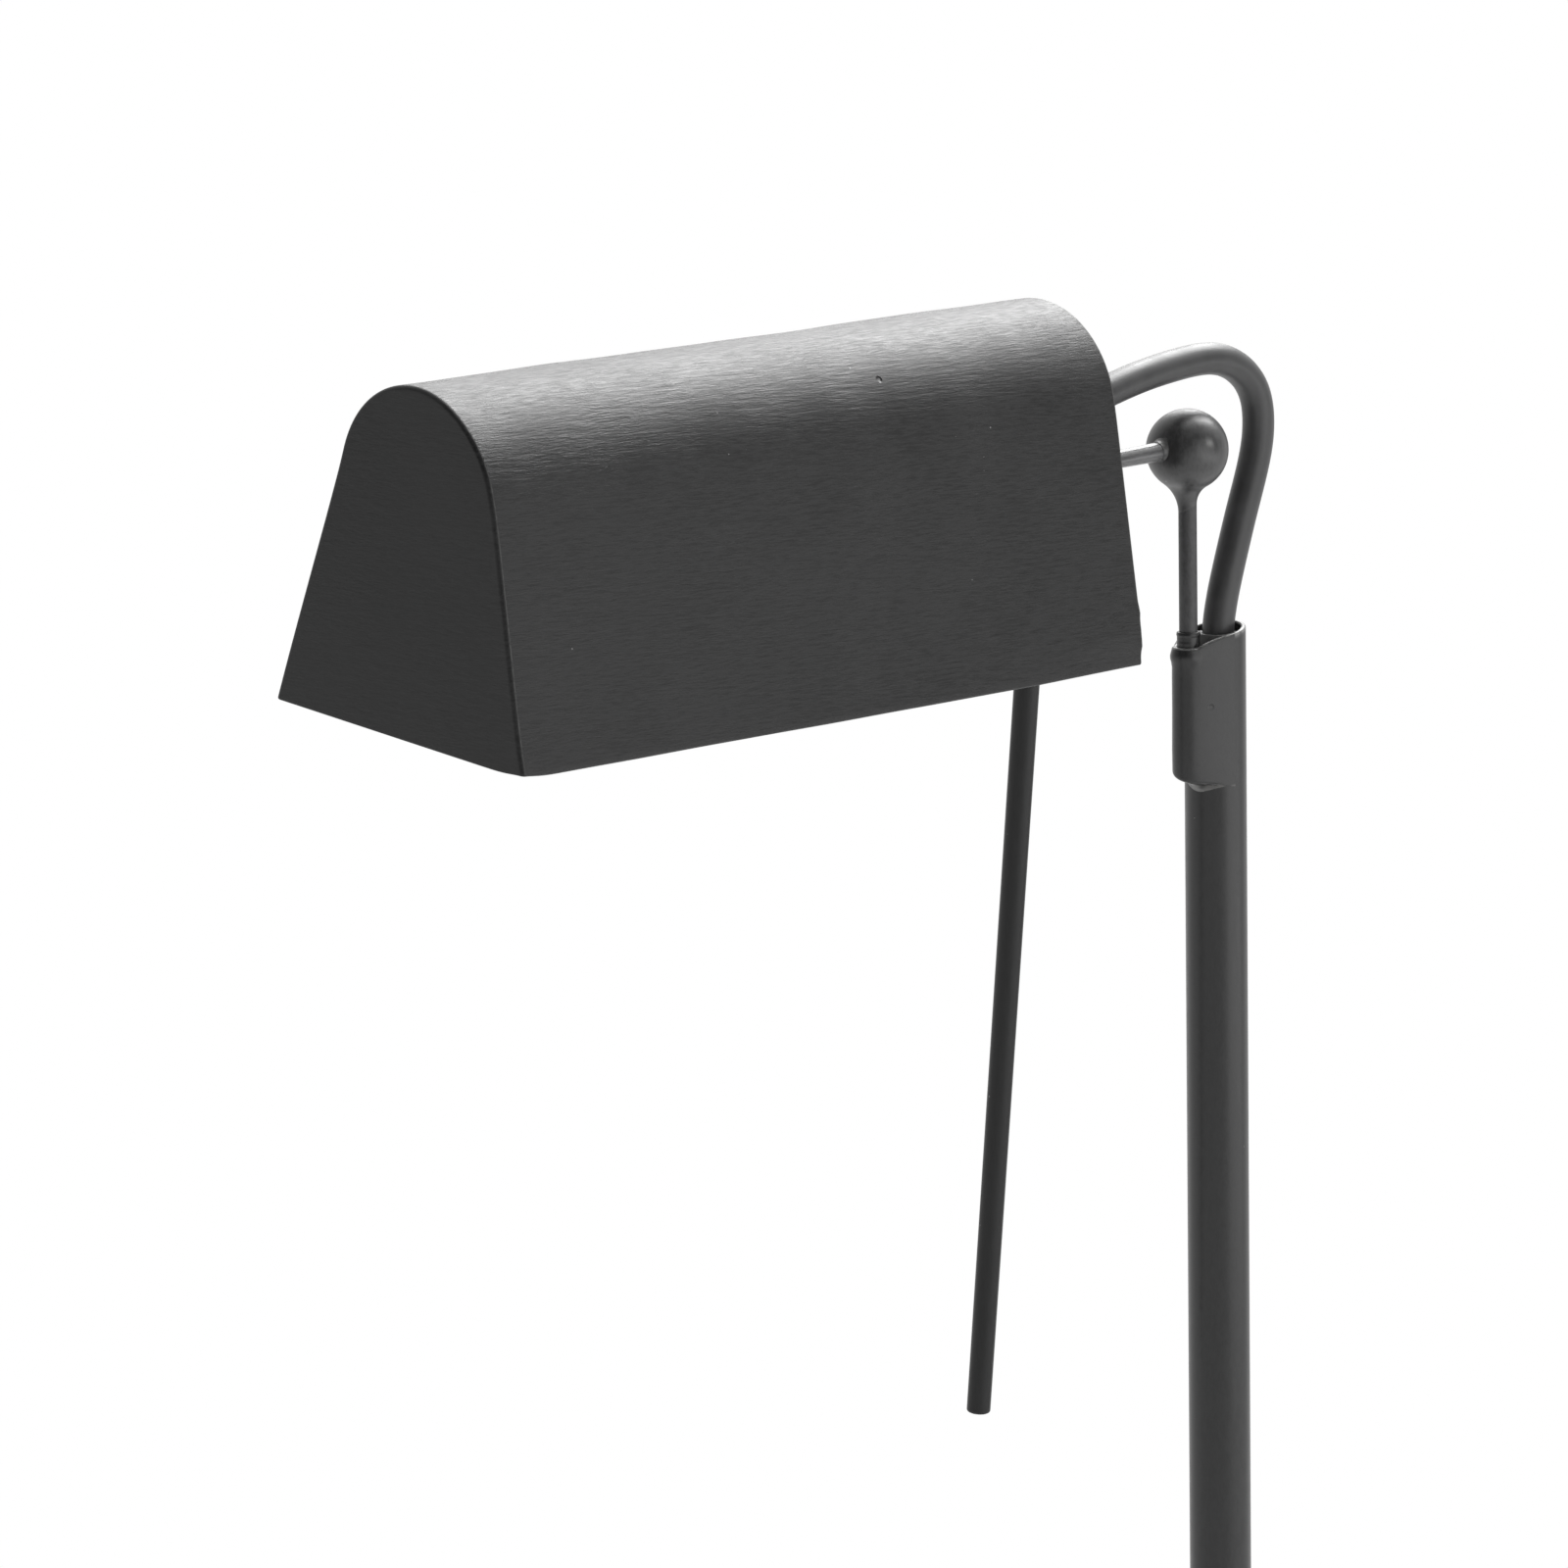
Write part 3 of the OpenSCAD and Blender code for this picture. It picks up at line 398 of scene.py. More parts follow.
def brushed_lines():
    """Long fine ridges along the vector's x: stretched noises, bent by a slow one, the finest for tone."""
    group, given, out = new_group("brushed_lines", {"Along": 90.0, "Across": 1300.0}, ["Height", "Tone"])
    bend = put(group, "TexNoise", {"Vector": given["Vector"], "Scale": 45.0, "Detail": 1.0}).outputs[1]
    drift = vector_of(group, "SUBTRACT", bend, (0.5, 0.5, 0.5))[0]
    sway = vector_of(group, "MULTIPLY", drift, (0.0, 0.5 * MM, 0.5 * MM))[0]
    moved = vector_of(group, "ADD", given["Vector"], sway)[0]
    along, across = given["Along"], given["Across"]
    stretch = put(group, "CombineXYZ", {0: along, 1: across, 2: across}).outputs[0]
    scaled = vector_of(group, "MULTIPLY", moved, stretch)[0]
    height = weighed(group, noise(group, scaled, 1.0, 4.0, 0.66), noise(group, scaled, 2.6, 3.0, 0.7), 0.3)
    patch = spread(group, noise(group, given["Vector"], 70.0), 0.25, 0.75, 0.45, 1.0)
    group.links.new(math_of(group, "MULTIPLY", height, patch), out["Height"])
    group.links.new(noise(group, scaled, 1.8, 3.0, 0.75), out["Tone"])
    return group


def nicks():
    """Sparse small pits and flecks: the middle of a few cells of a cell pattern."""
    group, given, out = new_group("nicks", {"Scale": 300.0, "Size": 0.04, "Share": 0.35}, ["Pit", "Fleck"])
    cells = put(group, "TexVoronoi", {"Vector": given["Vector"], "Scale": given["Scale"]}).outputs
    lot = put(group, "SeparateColor", {0: cells["Color"]}).outputs
    size = math_of(group, "MULTIPLY", given["Size"], math_of(group, "ADD", lot[2], 0.3))
    spot = math_of(group, "LESS_THAN", cells["Distance"], size)
    mask = math_of(group, "MULTIPLY", spot, math_of(group, "LESS_THAN", lot[0], given["Share"]))
    pale = math_of(group, "LESS_THAN", lot[1], 0.4)
    group.links.new(math_of(group, "MULTIPLY", mask, math_of(group, "SUBTRACT", 1.0, pale)), out["Pit"])
    group.links.new(math_of(group, "MULTIPLY", mask, pale), out["Fleck"])
    return group


def fine_grain():
    """Even grain: a fine noise for height, and a slow one for tone."""
    group, given, out = new_group("fine_grain", {"Grain": 2500.0, "Cloud": 60.0}, ["Height", "Tone"])
    group.links.new(noise(group, given["Vector"], given["Grain"], 2.0, 0.6), out["Height"])
    group.links.new(noise(group, given["Vector"], given["Cloud"], 3.0, 0.6), out["Tone"])
    return group


LINES, NICKS, GRAIN = brushed_lines(), nicks(), fine_grain()


# Finishes

# Colours of flecks, of bare braze whose pale colour also paints the braze's highlights, and of edges pale
# with wear and painted highlight
FLECK, BARE_BRAZE_AND_HIGHLIGHT, RUBBED_AND_LIT = (0.22, 0.22, 0.22), (0.07, 0.069, 0.066), (0.22, 0.22, 0.216)
# Radius of a chip's floor and of its edge, and the softness of a band's lower and upper limit
CHIP_FLOOR, CHIP_EDGE = 0.3 * MM, 0.75 * MM
BAND_IN, BAND_OUT = 0.3 * MM, 0.5 * MM
# Depth of the grain in the paint
PAINT_GRAIN = 0.004 * MM


def grey(level):
    """A grey with a trace of blue."""
    return (level, level, 1.02 * level)


def new_material(name):
    """A material with its shader's inputs and its Object coordinates."""
    material = bpy.data.materials.new(name)
    tree = new_tree(material)
    shader = put(tree, "BsdfPrincipled")
    put(tree, "OutputMaterial", {"Surface": shader.outputs[0]})
    return material, tree, shader.inputs, put(tree, "TexCoord").outputs["Object"]


def black_paint(name, tones=(0.002, 0.0135), turn=(0, 0, 0), along=150.0, across=1350.0, relief=0.27 * MM,
                gloss=0.46, shine=0.385, band=None, chip=None, rubbed_and_lit=False):
    """Satin black paint over brushed metal, with a few nicks. The brush lines run along x after the turn.
    They move the paint between two tones of grey, and its gloss too, further where their relief is deeper.
    A band, a plane's normal with two levels, shows bare braze in patches, whose pale colour also paints the
    braze's highlights. A chip is a pit at a point. A rubbed-and-lit piece is pale where its attribute marks
    wear and painted highlight."""
    material, tree, shader, at = new_material(name)
    turned_at = put(tree, "Mapping", {"Vector": at, "Rotation": turn}).outputs[0]
    lines = use_group(tree, LINES, Vector=turned_at, Along=along, Across=across)
    marks = use_group(tree, NICKS, Vector=at)
    grain = use_group(tree, GRAIN, Vector=at, Grain=3800.0, Cloud=38.0)
    tone = weighed(tree, lines["Tone"], grain["Tone"], 0.2)
    colour = mixed(tree, spread(tree, tone, 0.39, 0.59), *map(grey, tones))
    colour = mixed(tree, marks["Fleck"], colour, FLECK)
    if band:
        normal, low, high = band
        level = vector_of(tree, "DOT_PRODUCT", at, normal)["Value"]
        over = spread(tree, level, low - BAND_IN, low + BAND_IN)
        under = spread(tree, level, high, high + BAND_OUT, 1.0, 0.0)
        patch = spread(tree, noise(tree, at, 420.0), 0.35, 0.55)
        # Pale bare braze in patches, which also paints the braze's highlights
        bare_and_lit = math_of(tree, "MULTIPLY", math_of(tree, "MULTIPLY", over, under), patch)
        colour = mixed(tree, bare_and_lit, colour, BARE_BRAZE_AND_HIGHLIGHT)
    # Pale where the attribute says so: wear, and painted highlights on lips, seams, the weld's top and a
    # speck on the ball
    if rubbed_and_lit:
        worn = put(tree, "Attribute", attribute_name="worn").outputs["Fac"]
        patch = spread(tree, noise(tree, at, 700.0), 0.3, 0.65, 0.35, 1.0)
        colour = mixed(tree, math_of(tree, "MULTIPLY", worn, patch), colour, RUBBED_AND_LIT)
    tree.links.new(colour, shader["Base Color"])
    swing = 0.04 + relief / (5 * MM)
    tree.links.new(spread(tree, tone, 0.30, 0.70, gloss - swing, gloss + swing), shader["Roughness"])
    height = math_of(tree, "SUBTRACT", lines["Height"], math_of(tree, "MULTIPLY", marks["Pit"], 2.0))
    if chip:
        away = vector_of(tree, "DISTANCE", at, chip)["Value"]
        height = math_of(tree, "SUBTRACT", height, spread(tree, away, CHIP_FLOOR, CHIP_EDGE, 2.0, 0.0))
    grained_normal = bump(tree, grain["Height"], PAINT_GRAIN)
    tree.links.new(bump(tree, height, relief, grained_normal), shader["Normal"])
    shader["Specular IOR Level"].default_value = shine
    return material


def grained(name, dark, pale, rough, grain=1800.0, cloud=80.0, relief=0.01 * MM):
    """Plastic, rubber or felt: soft clouds between two colours and two roughnesses, with an even grain."""
    material, tree, shader, at = new_material(name)
    grains = use_group(tree, GRAIN, Vector=at, Grain=grain, Cloud=cloud)
    tree.links.new(mixed(tree, spread(tree, grains["Tone"], 0.3, 0.7), dark, pale), shader["Base Color"])
    tree.links.new(spread(tree, grains["Tone"], 0.2, 0.8, *rough), shader["Roughness"])
    tree.links.new(bump(tree, grains["Height"], relief), shader["Normal"])
    return material


def bare_metal(name, dark, pale, gloss):
    """Plated or bare metal with fine drawing lines along x."""
    material, tree, shader, at = new_material(name)
    lines = use_group(tree, LINES, Vector=at, Along=120.0, Across=2600.0)
    clouds = use_group(tree, GRAIN, Vector=at, Cloud=90.0)["Tone"]
    tree.links.new(mixed(tree, spread(tree, clouds, 0.3, 0.7), dark, pale), shader["Base Color"])
    tree.links.new(spread(tree, lines["Tone"], 0.25, 0.75, gloss - 0.08, gloss + 0.08), shader["Roughness"])
    tree.links.new(bump(tree, lines["Height"], 0.01 * MM), shader["Normal"])
    shader["Metallic"].default_value = 1.0
    return material


def opal(name, dark, pale):
    """Opal glass: a glossy pale skin with faint clouds that lets light through."""
    material, tree, shader, at = new_material(name)
    clouds = use_group(tree, GRAIN, Vector=at, Cloud=45.0)["Tone"]
    tree.links.new(mixed(tree, clouds, dark, pale), shader["Base Color"])
    tree.links.new(spread(tree, clouds, 0.2, 0.8, 0.10, 0.18), shader["Roughness"])
    shader["Subsurface Weight"].default_value = 0.35
    shader["Subsurface Scale"].default_value = 2 * MM
    shader["Subsurface Radius"].default_value = (1.0, 0.95, 0.85)
    return material


# Ways of the brush lines: across the shade, upright, and a little askew on the shade's sheet
SIDEWAYS, UPRIGHT, ASKEW = (0, 0, math.pi / 2), (0, math.pi / 2, 0), (0, math.radians(-2.5), 0)
# Marks: a chip near the top of the shade's sheet, a dimple in the socket, and a painted highlight speck on
# the ball
CHIP_AT = from_ball(-100.1, -17.6, 25.5)
DIMPLE_AT = from_ball(1.6, -4.4, -49.7)
HIGHLIGHT_SPECK_AT = from_ball(-1.55, -7.45, 2.2)
# Stretch of the socket's foot that shows bare braze between two slanted planes; its pale colour also paints
# the braze's highlights
BRAZE_AND_HIGHLIGHT_BAND = (0, -BRAZE_SLOPE, 1), BRAZE_FOOT - BRAZE_FALL, BRAZE_FOOT + 0.1 * MM

shell_paint = black_paint("shell_paint", turn=ASKEW, chip=CHIP_AT)
cap_paint = black_paint("cap_paint", turn=SIDEWAYS, along=170.0, across=900.0, relief=0.10 * MM, gloss=0.48,
                        shine=0.40, rubbed_and_lit=True)
rod_paint = black_paint("rod_paint", (0.010, 0.015), UPRIGHT, along=200.0, across=500.0, relief=0.012 * MM,
                        gloss=0.34, shine=0.50, rubbed_and_lit=True)
socket_paint = black_paint("socket_paint", (0.011, 0.017), UPRIGHT, along=300.0, across=500.0,
                           relief=0.03 * MM, gloss=0.34, shine=0.50, band=BRAZE_AND_HIGHLIGHT_BAND, chip=DIMPLE_AT,
                           rubbed_and_lit=True)
knuckle_paint = black_paint("knuckle_paint", (0.034, 0.052), UPRIGHT, along=300.0, across=700.0,
                            relief=0.05 * MM, gloss=0.48, shine=0.50)
ball_paint = black_paint("ball_paint", (0.022, 0.038), UPRIGHT, along=300.0, across=700.0, relief=0.06 * MM,
                         gloss=0.39, shine=0.70, rubbed_and_lit=True)
# The tilt rod's paint is paler than the rest: painted highlight and reflection along the rod
tilt_rod_paint = black_paint("tilt_rod_paint", (0.055, 0.09), along=300.0, across=700.0, relief=0.03 * MM,
                             gloss=0.32, shine=0.9)
# The handle's paint is darker than the rest: painted shade under the shade
handle_paint = black_paint("handle_paint", (0.004, 0.008), UPRIGHT, along=60.0, across=900.0,
                           relief=0.012 * MM, gloss=0.44, shine=0.36)
base_paint = black_paint("base_paint", (0.0055, 0.0105), along=260.0, across=320.0, relief=0.02 * MM)

# Drawn sheaths have a finer cloud and a coarser grain than moulded pieces
SHEATH = {"grain": 1400.0, "cloud": 120.0, "relief": 0.012 * MM}
CORE_ROUGH, RUBBER_ROUGH = (0.29, 0.42), (0.56, 0.70)
black_pvc = grained("black_pvc", grey(0.033), grey(0.048), (0.35, 0.48), **SHEATH)
brown_pvc = grained("brown_pvc", (0.10, 0.035, 0.015), (0.14, 0.05, 0.022), CORE_ROUGH, **SHEATH)
blue_pvc = grained("blue_pvc", (0.010, 0.05, 0.28), (0.016, 0.07, 0.36), CORE_ROUGH, **SHEATH)
green_pvc = grained("green_pvc", (0.10, 0.30, 0.02), (0.42, 0.44, 0.03), CORE_ROUGH, **SHEATH)
black_rubber = grained("black_rubber", grey(0.016), grey(0.026), RUBBER_ROUGH)
# Paler rubber for the sleeve: painted light in the shaded hole at the pole's top
worn_rubber = grained("worn_rubber", (0.09, 0.09, 0.09), (0.14, 0.14, 0.138), RUBBER_ROUGH)
bakelite = grained("bakelite", (0.012, 0.011, 0.010), (0.022, 0.019, 0.017), (0.20, 0.34), grain=900.0,
                   relief=0.004 * MM)
white_nylon = grained("white_nylon", (0.72, 0.71, 0.67), (0.80, 0.79, 0.75), (0.36, 0.50))
red_fibre = grained("red_fibre", (0.22, 0.03, 0.018), (0.32, 0.05, 0.03), (0.60, 0.74), grain=2600.0,
                    relief=0.03 * MM)
felt = grained("felt", grey(0.010), grey(0.030), (0.84, 0.98), grain=1100.0, relief=0.25 * MM)
zinc_steel = bare_metal("zinc_steel", (0.42, 0.43, 0.45), (0.56, 0.57, 0.59), 0.34)
brass = bare_metal("brass", (0.58, 0.40, 0.14), (0.72, 0.52, 0.22), 0.28)
nickel = bare_metal("nickel", (0.62, 0.59, 0.54), (0.74, 0.71, 0.66), 0.24)
opal_glass = opal("opal_glass", (0.74, 0.73, 0.70), (0.86, 0.85, 0.82))

# Camera: its place, the way that it looks, and its lens
CAMERA_AT = np.array([-1237.6, -1158.6, 606.3]) * MM
HEADING, DIP, ROLL = math.radians(44.07), math.radians(10.244), math.radians(0.859)
LENS, SENSOR = 204.59, 36.0
CLIP_NEAR, CLIP_FAR = 0.05, 60.0


def add_camera():
    """Camera that looks down by the dip, towards the heading from y to x, with a small roll."""
    ahead = np.array([math.sin(HEADING) * math.cos(DIP), math.cos(HEADING) * math.cos(DIP), -math.sin(DIP)])
    level = np.array([math.cos(HEADING), -math.sin(HEADING), 0.0])
    right = math.cos(ROLL) * level + math.sin(ROLL) * np.cross(ahead, level)
    up = np.cross(right, ahead)
    data = bpy.data.cameras.new("camera")
    data.lens, data.sensor_width = LENS, SENSOR
    data.clip_start, data.clip_end = CLIP_NEAR, CLIP_FAR
    camera = added("camera", data)
    turn = Matrix(np.stack([right, up, -ahead], 1).tolist())
    camera.matrix_world = Matrix.Translation(CAMERA_AT) @ turn.to_4x4()
    bpy.context.scene.camera = camera


add_camera()

# Lead: points from the ball's centre, (x, z) in mm, in the plane of the pole and the shade
LOWER_ROUTE = [(8.4, -38), (8.4, -35.5), (9.2, -31), (10.9, -25.5), (13, -19.5), (15.2, -13.5),
               (17.2, -8.5), (19, -3.5), (20.1, 1.5), (20.1, 3.5)]
UPPER_ROUTE = [(20.1, 3.5), (20.1, 5.5), (18.4, 10.5), (14.6, 14.2), (9.2, 16.6), (3.2, 17.1), (-2.8, 16.7),
               (-9.3, 16), (-15.8, 15), (-22.8, 13.6), (-29.8, 12.1), (-36.3, 11)]
# Height of the lead's entry above the tilt axis, and the station where its sheath ends inside the rear cap
ENTRY_RISE, SHEATH_END = 10.5 * MM, REAR_LOW[0] - 6 * MM
# Distances behind the rear cap where the lead has drifted to its entry, and where it runs straight
DRIFT_END, STRAIGHT_FROM = 6 * MM, 2 * MM
# Step along the lead, and the width that evens its bends
LEAD_STEP, LEAD_EVEN = 0.4 * MM, 2.2 * MM


def lead_path():
    """The whole lead as one smooth path, which drifts sideways to meet the leaning shade's grommet."""
    entry = ENTRY_RISE * np.array([0, -math.sin(LEAN), math.cos(LEAN)])
    loop = np.array([(x, 0, z) for x, z in LOWER_ROUTE + UPPER_ROUTE[1:]]) * MM
    loop[:, 1] = entry[1] * np.maximum(0, loop[:, 0] / (REAR_X + DRIFT_END)) ** 2
    ending = entry + np.array([(REAR_X + STRAIGHT_FROM, 0, 0), (SHEATH_END, 0, 0)])
    return evened(flowing(np.concatenate([loop, ending]) + BALL), LEAD_STEP, LEAD_EVEN)


def add_leads():
    """The lead as two pieces, lower and upper, split where their routes meet."""
    path = lead_path()
    rings = rings_along(path, LEAD_R)
    x, z = UPPER_ROUTE[0]
    split = int(np.argmin(np.linalg.norm(path - from_ball(x, 0, z), axis=1)))
    for name, part, bodies in (("lead_lower", slice(0, split + 1), ("stand", "knuckle")),
                               ("lead_upper", slice(split, None), ("knuckle", "shade"))):
        line = path[part]
        lead = piece(name + "_sheath", None, black_pvc, name, capped(rings[part], line[0], line[-1]))
        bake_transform(lead)
        if name == "lead_upper":
            line = line[::-1]


add_leads()

# Shade: radius of its round top, and the heights of its lower edge and of the top's centre
TOP_R = 19.8 * MM
EDGE_Z, ARC_Z = CAP_LOW[2], CAP_HIGH[2] - TOP_R
# Half width at the lower edge, and the thickness of the sheet and of the caps
HALF_W, SHEET, CAP_T = CAP_HIGH[1], 1.0 * MM, CAP_HIGH[0] - CAP_LOW[0]
# Angle of the straight sides from upright: they touch the round top and end at the lower edge's width
SPLAY = math.atan2(EDGE_Z - ARC_Z, HALF_W) + math.acos(TOP_R / math.hypot(HALF_W, EDGE_Z - ARC_Z))
# Round of the edges where the front and rear caps run into the shell, and the pale wear and painted
# highlight along those seams
FRONT_EDGE, REAR_EDGE, SEAM_WEAR_AND_HIGHLIGHT = 0.8 * MM, 0.6 * MM, 0.2
# Small round of a cap's lower corners
CAP_CORNER = 0.5 * MM
# The section is folded by hand: its shoulders lean to one side, and that side swells towards the front
SHOULDER_LEAN, SHOULDER_H, SIDE_SWELL = 0.9 * MM, 8 * MM, 0.8 * MM
# That side's rear corner is drawn in at the lower edge, over a length and a height
CORNER_IN, CORNER_L, CORNER_H = 1.1 * MM, 30 * MM, 7 * MM
# Beads of weld at that corner: heights above the edge, rise, width, and the stretch where they begin
BEAD_H, BEAD_RISE, BEAD_WIDTH = (3.8 * MM, 10 * MM), 0.28 * MM, 1.1 * MM
BEAD_FROM, BEAD_OVER = 3 * MM, 2 * MM
# That side's front corner is filed round at the lower edge
FILED_UP, FILED_REACH = 0.5 * MM, 4 * MM
# Slow waves of the sheet, along x and round the section, that fade near the caps
SHEET_WAVES = ((0.07, 71, 3.1, 0), (0.05, 143, -6.3, 1.0), (0.04, 37, 9.7, 2.0), (0.025, 263, 4.1, 0.4))
WAVE_FADE = 9 * MM
# Slow waves of the caps' faces, over y and z, and their hollow
CAP_WAVES, CAP_HOLLOW = ((0.04, 95, 40, 0), (0.03, -150, 60, 1), (0.02, 0, 210, 0.5)), 0.05 * MM


def set_in_shade(grid):
    """Places the folded section: smooth steps of the height lean its shoulders to one side, and a smooth
    hump swells that side, more towards the front. Near the rear corner the edge is drawn in and bell curves
    make beads, and a bell curve lifts the front corner."""
    x, y, z = np.moveaxis(grid, -1, 0)
    rise = ease((z - EDGE_Z) / (ARC_Z + SHOULDER_H - EDGE_Z))
    fall = ease((z - ARC_Z) / TOP_R)
    front = ease((REAR_X - x) / (REAR_X - FRONT_X))
    side = ease(-y / (0.5 * HALF_W))
    low = ease((EDGE_Z + CORNER_H - z) / CORNER_H)
    y = y - SHOULDER_LEAN * (0.6 + 0.4 * front) * (rise - 0.75 * fall)
    y = y - SIDE_SWELL * front * side * (0.35 + 0.65 * rise) * (1 - fall)
    y = y + CORNER_IN * side * low * ease((x - REAR_X + CORNER_L) / CORNER_L)
    bead = sum(bell((z - EDGE_Z - height) / BEAD_WIDTH) for height in BEAD_H)
    y = y - BEAD_RISE * side * bead * ease((x - REAR_X + BEAD_FROM) / BEAD_OVER)
    z = z + FILED_UP * low * bell(np.hypot(x - FRONT_X, y + HALF_W) / FILED_REACH)
    return from_shade(np.stack([x, y, z], -1))


def arch(inset, foot, count):
    """Points (y, z) of the section from foot to foot over the round top, at equal steps of length."""
    r = TOP_R - inset
    side = (ARC_Z + r * math.sin(SPLAY) - foot) / math.cos(SPLAY)
    half_arc = r * (math.pi / 2 - SPLAY)
    s = np.linspace(-1, 1, count) * (side + half_arc)
    turn = np.clip(s, -half_arc, half_arc) / r
    past = np.maximum(np.abs(s) - half_arc, 0)
    y = r * np.sin(turn) + np.sign(s) * past * math.sin(SPLAY)
    z = ARC_Z + r * np.cos(turn) - past * math.cos(SPLAY)
    return np.stack([y, z], -1)


def add_shell():
    """Folded sheet: the section's loop, out over the arch, round the lower edge and back inside, carried
    along x, with slow hand-made waves square to the sheet that fade out at the caps."""
    count, stations, foot = 161, 141, EDGE_Z + SHEET / 2
    outer, inner = arch(0, foot, count), arch(SHEET, foot, count)
    middle, across = (outer + inner) / 2, (outer - inner) / 2
    t = np.linspace(0, math.pi, 9)[1:-1, None]

    def edge(k, sign):
        along = sign * np.array([-across[k, 1], across[k, 0]])
        return middle[k] + np.cos(t) * across[k] + np.sin(t) * along

    def there_and_back(values):
        ends = [np.repeat(values[k][None], len(t), 0) for k in (-1, 0)]
        return np.concatenate([values, ends[0], values[::-1], ends[1]])

    loop = np.concatenate([outer, edge(-1, -1), inner[::-1], edge(0, 1)[::-1]])
    x = np.linspace(FRONT_X + FRONT_EDGE, REAR_X - REAR_EDGE, stations)[:, None]
    fade = ease((x - x[0]) / WAVE_FADE) * ease((x[-1] - x) / WAVE_FADE)
    lift = fade * ripples(SHEET_WAVES, x, there_and_back(np.linspace(-1, 1, count)))
    yz = loop + lift[..., None] * there_and_back(2 * across / SHEET)
    spine = there_and_back(middle)
    yz = np.concatenate([spine[None], yz, spine[None]])
    x = np.broadcast_to(np.concatenate([x[:1], x, x[-1:]]), yz.shape[:2])
    grid = np.concatenate([x[..., None], yz], -1)
    piece("shade_shell_sheet", "shade", shell_paint, "shade_shell", set_in_shade(grid))


def cap_outline(inset):
    """Closed outline (y, z) of a cap, inset from its outer face: the arch, two small corners, curved by
    their three points, and the lower edge."""
    count, r, foot = 48, TOP_R - inset, EDGE_Z + 0.35 * inset
    top = arch(inset, foot + CAP_CORNER, 3 * count)
    y = r * math.cos(SPLAY) + (ARC_Z + r * math.sin(SPLAY) - foot) * math.tan(SPLAY)
    side, corner, flat = top[-1], np.array([y, foot]), np.array([y - 1.6 * CAP_CORNER, foot])
    t = np.linspace(0, 1, 8)[1:-1, None]
    turn = (1 - t) ** 2 * side + 2 * t * (1 - t) * corner + t ** 2 * flat
    bottom = np.linspace(flat, flat * (-1, 1), count)
    return np.concatenate([top, turn, bottom, turn[::-1] * (-1, 1)])


def add_cap(name, node, face, way, edge):
    """End cap: outlines from the middle of its face out to the rounded rim, back along the shell's seam and
    in again to the middle of its inner face. Slow waves bend the face by a few hundredths of a mm."""
    shares = [0.0, 0.02, 0.25, 0.5, 0.7, 0.85, 0.95, 0.99]
    middle = np.array([0, (EDGE_Z + ARC_Z) / 2])
    rows = []

    def add_rows(inset, depth, shares=(1.0,)):
        around = cap_outline(inset)
        for share in shares:
            yz = middle + (around - middle) * share
            rows.append(np.column_stack([np.full(len(yz), depth), yz]))

    add_rows(edge, 0, shares)
    for v in quarter(9):
        add_rows(edge * (1 - math.sin(v)), edge * (1 - math.cos(v)))
    seam = len(rows)
    add_rows(SHEET, edge)
    add_rows(SHEET, CAP_T, [1.0, *shares[::-1]])
    depth, y, z = np.moveaxis(np.array(rows), -1, 0)
    inside = 1 - ease((np.hypot(y / HALF_W, (z - ARC_Z / 2) / (ARC_Z + TOP_R)) - 0.4) / 0.45)
    depth = depth + inside * (CAP_HOLLOW + ripples(CAP_WAVES, y, z))
    grid = set_in_shade(np.stack([face + way * depth, y, z], -1))
    # A pale line of wear and painted highlight along the seam
    worn = np.zeros((len(rows), 1))
    worn[seam - 2:seam] = SEAM_WEAR_AND_HIGHLIGHT
    piece(name, "shade", cap_paint, node, grid, worn=[worn])


add_shell()
add_cap("shade_front_plate", "front_cap", FRONT_X, 1, FRONT_EDGE)
add_cap("shade_rear_plate", "rear_cap", REAR_X, -1, REAR_EDGE)

# Pole: its radius and wall, and the round of its lip with the share of wear and painted highlight under it
POLE_R, POLE_WALL = upright("pole")[1], 1.0 * MM
LIP, UNDER_LIP_WEAR_AND_HIGHLIGHT = 0.48 * MM, 0.4
# Slant of its top rim, and the rim's drop below the ball's centre on the pole's axis
RIM_SLANT, RIM_DROP = math.radians(10), 35.6 * MM
# Dip of the rim next to the socket: its depth, and in degrees its reach, its round and half the bush's slot
RIM_DIP, DIP_REACH, DIP_ROUND, SLOT_HALF = 2.9 * MM, 20.0, 3.0, 19.5
# Small step of the rim under the socket's brim: its depth, where it begins and its width, in degrees
BRIM_STEP, STEP_FROM, STEP_OVER = 0.4 * MM, 74, 10
# Floor of the slot above the socket's foot, and the level below the foot where the plain tube begins
SLOT_FLOOR, PLAIN_DROP = 1 * MM, 6 * MM
# Socket: radius of its tube, softness of its blend with the pole, and how deep its edges sink into the pole
SOCKET_R, BLEND_SOFT, BLEND_SINK = 3.25 * MM, 0.25 * MM, 0.01 * MM
# Gap between the socket's back and the pole's bore, and the depth of the fillet's foot in the pole
BACK_GAP, HUG_IN = 0.05 * MM, 0.06 * MM
# Normals of the socket's plan, as angles round the pole
PLAN_TURN = np.radians(np.linspace(97, 263, 190))
# Fall of the socket's brim from the slanted cut to its tube, the power that shapes it, and its round
BRIM_FALL, BRIM_POWER, BRIM_EDGE = 2.35 * MM, 1.45, 0.5 * MM
# Lowest point of the brim below the tube's top
BRIM_LOW = 0.2 * MM
# Fillet at the socket's foot: rows, the power that shapes it, and the width and height of the edge above it
FILLET_ROWS, FILLET_POWER, FOOT_EDGE, FOOT_BEND = 10, 2.4, 0.6 * MM, 0.9 * MM
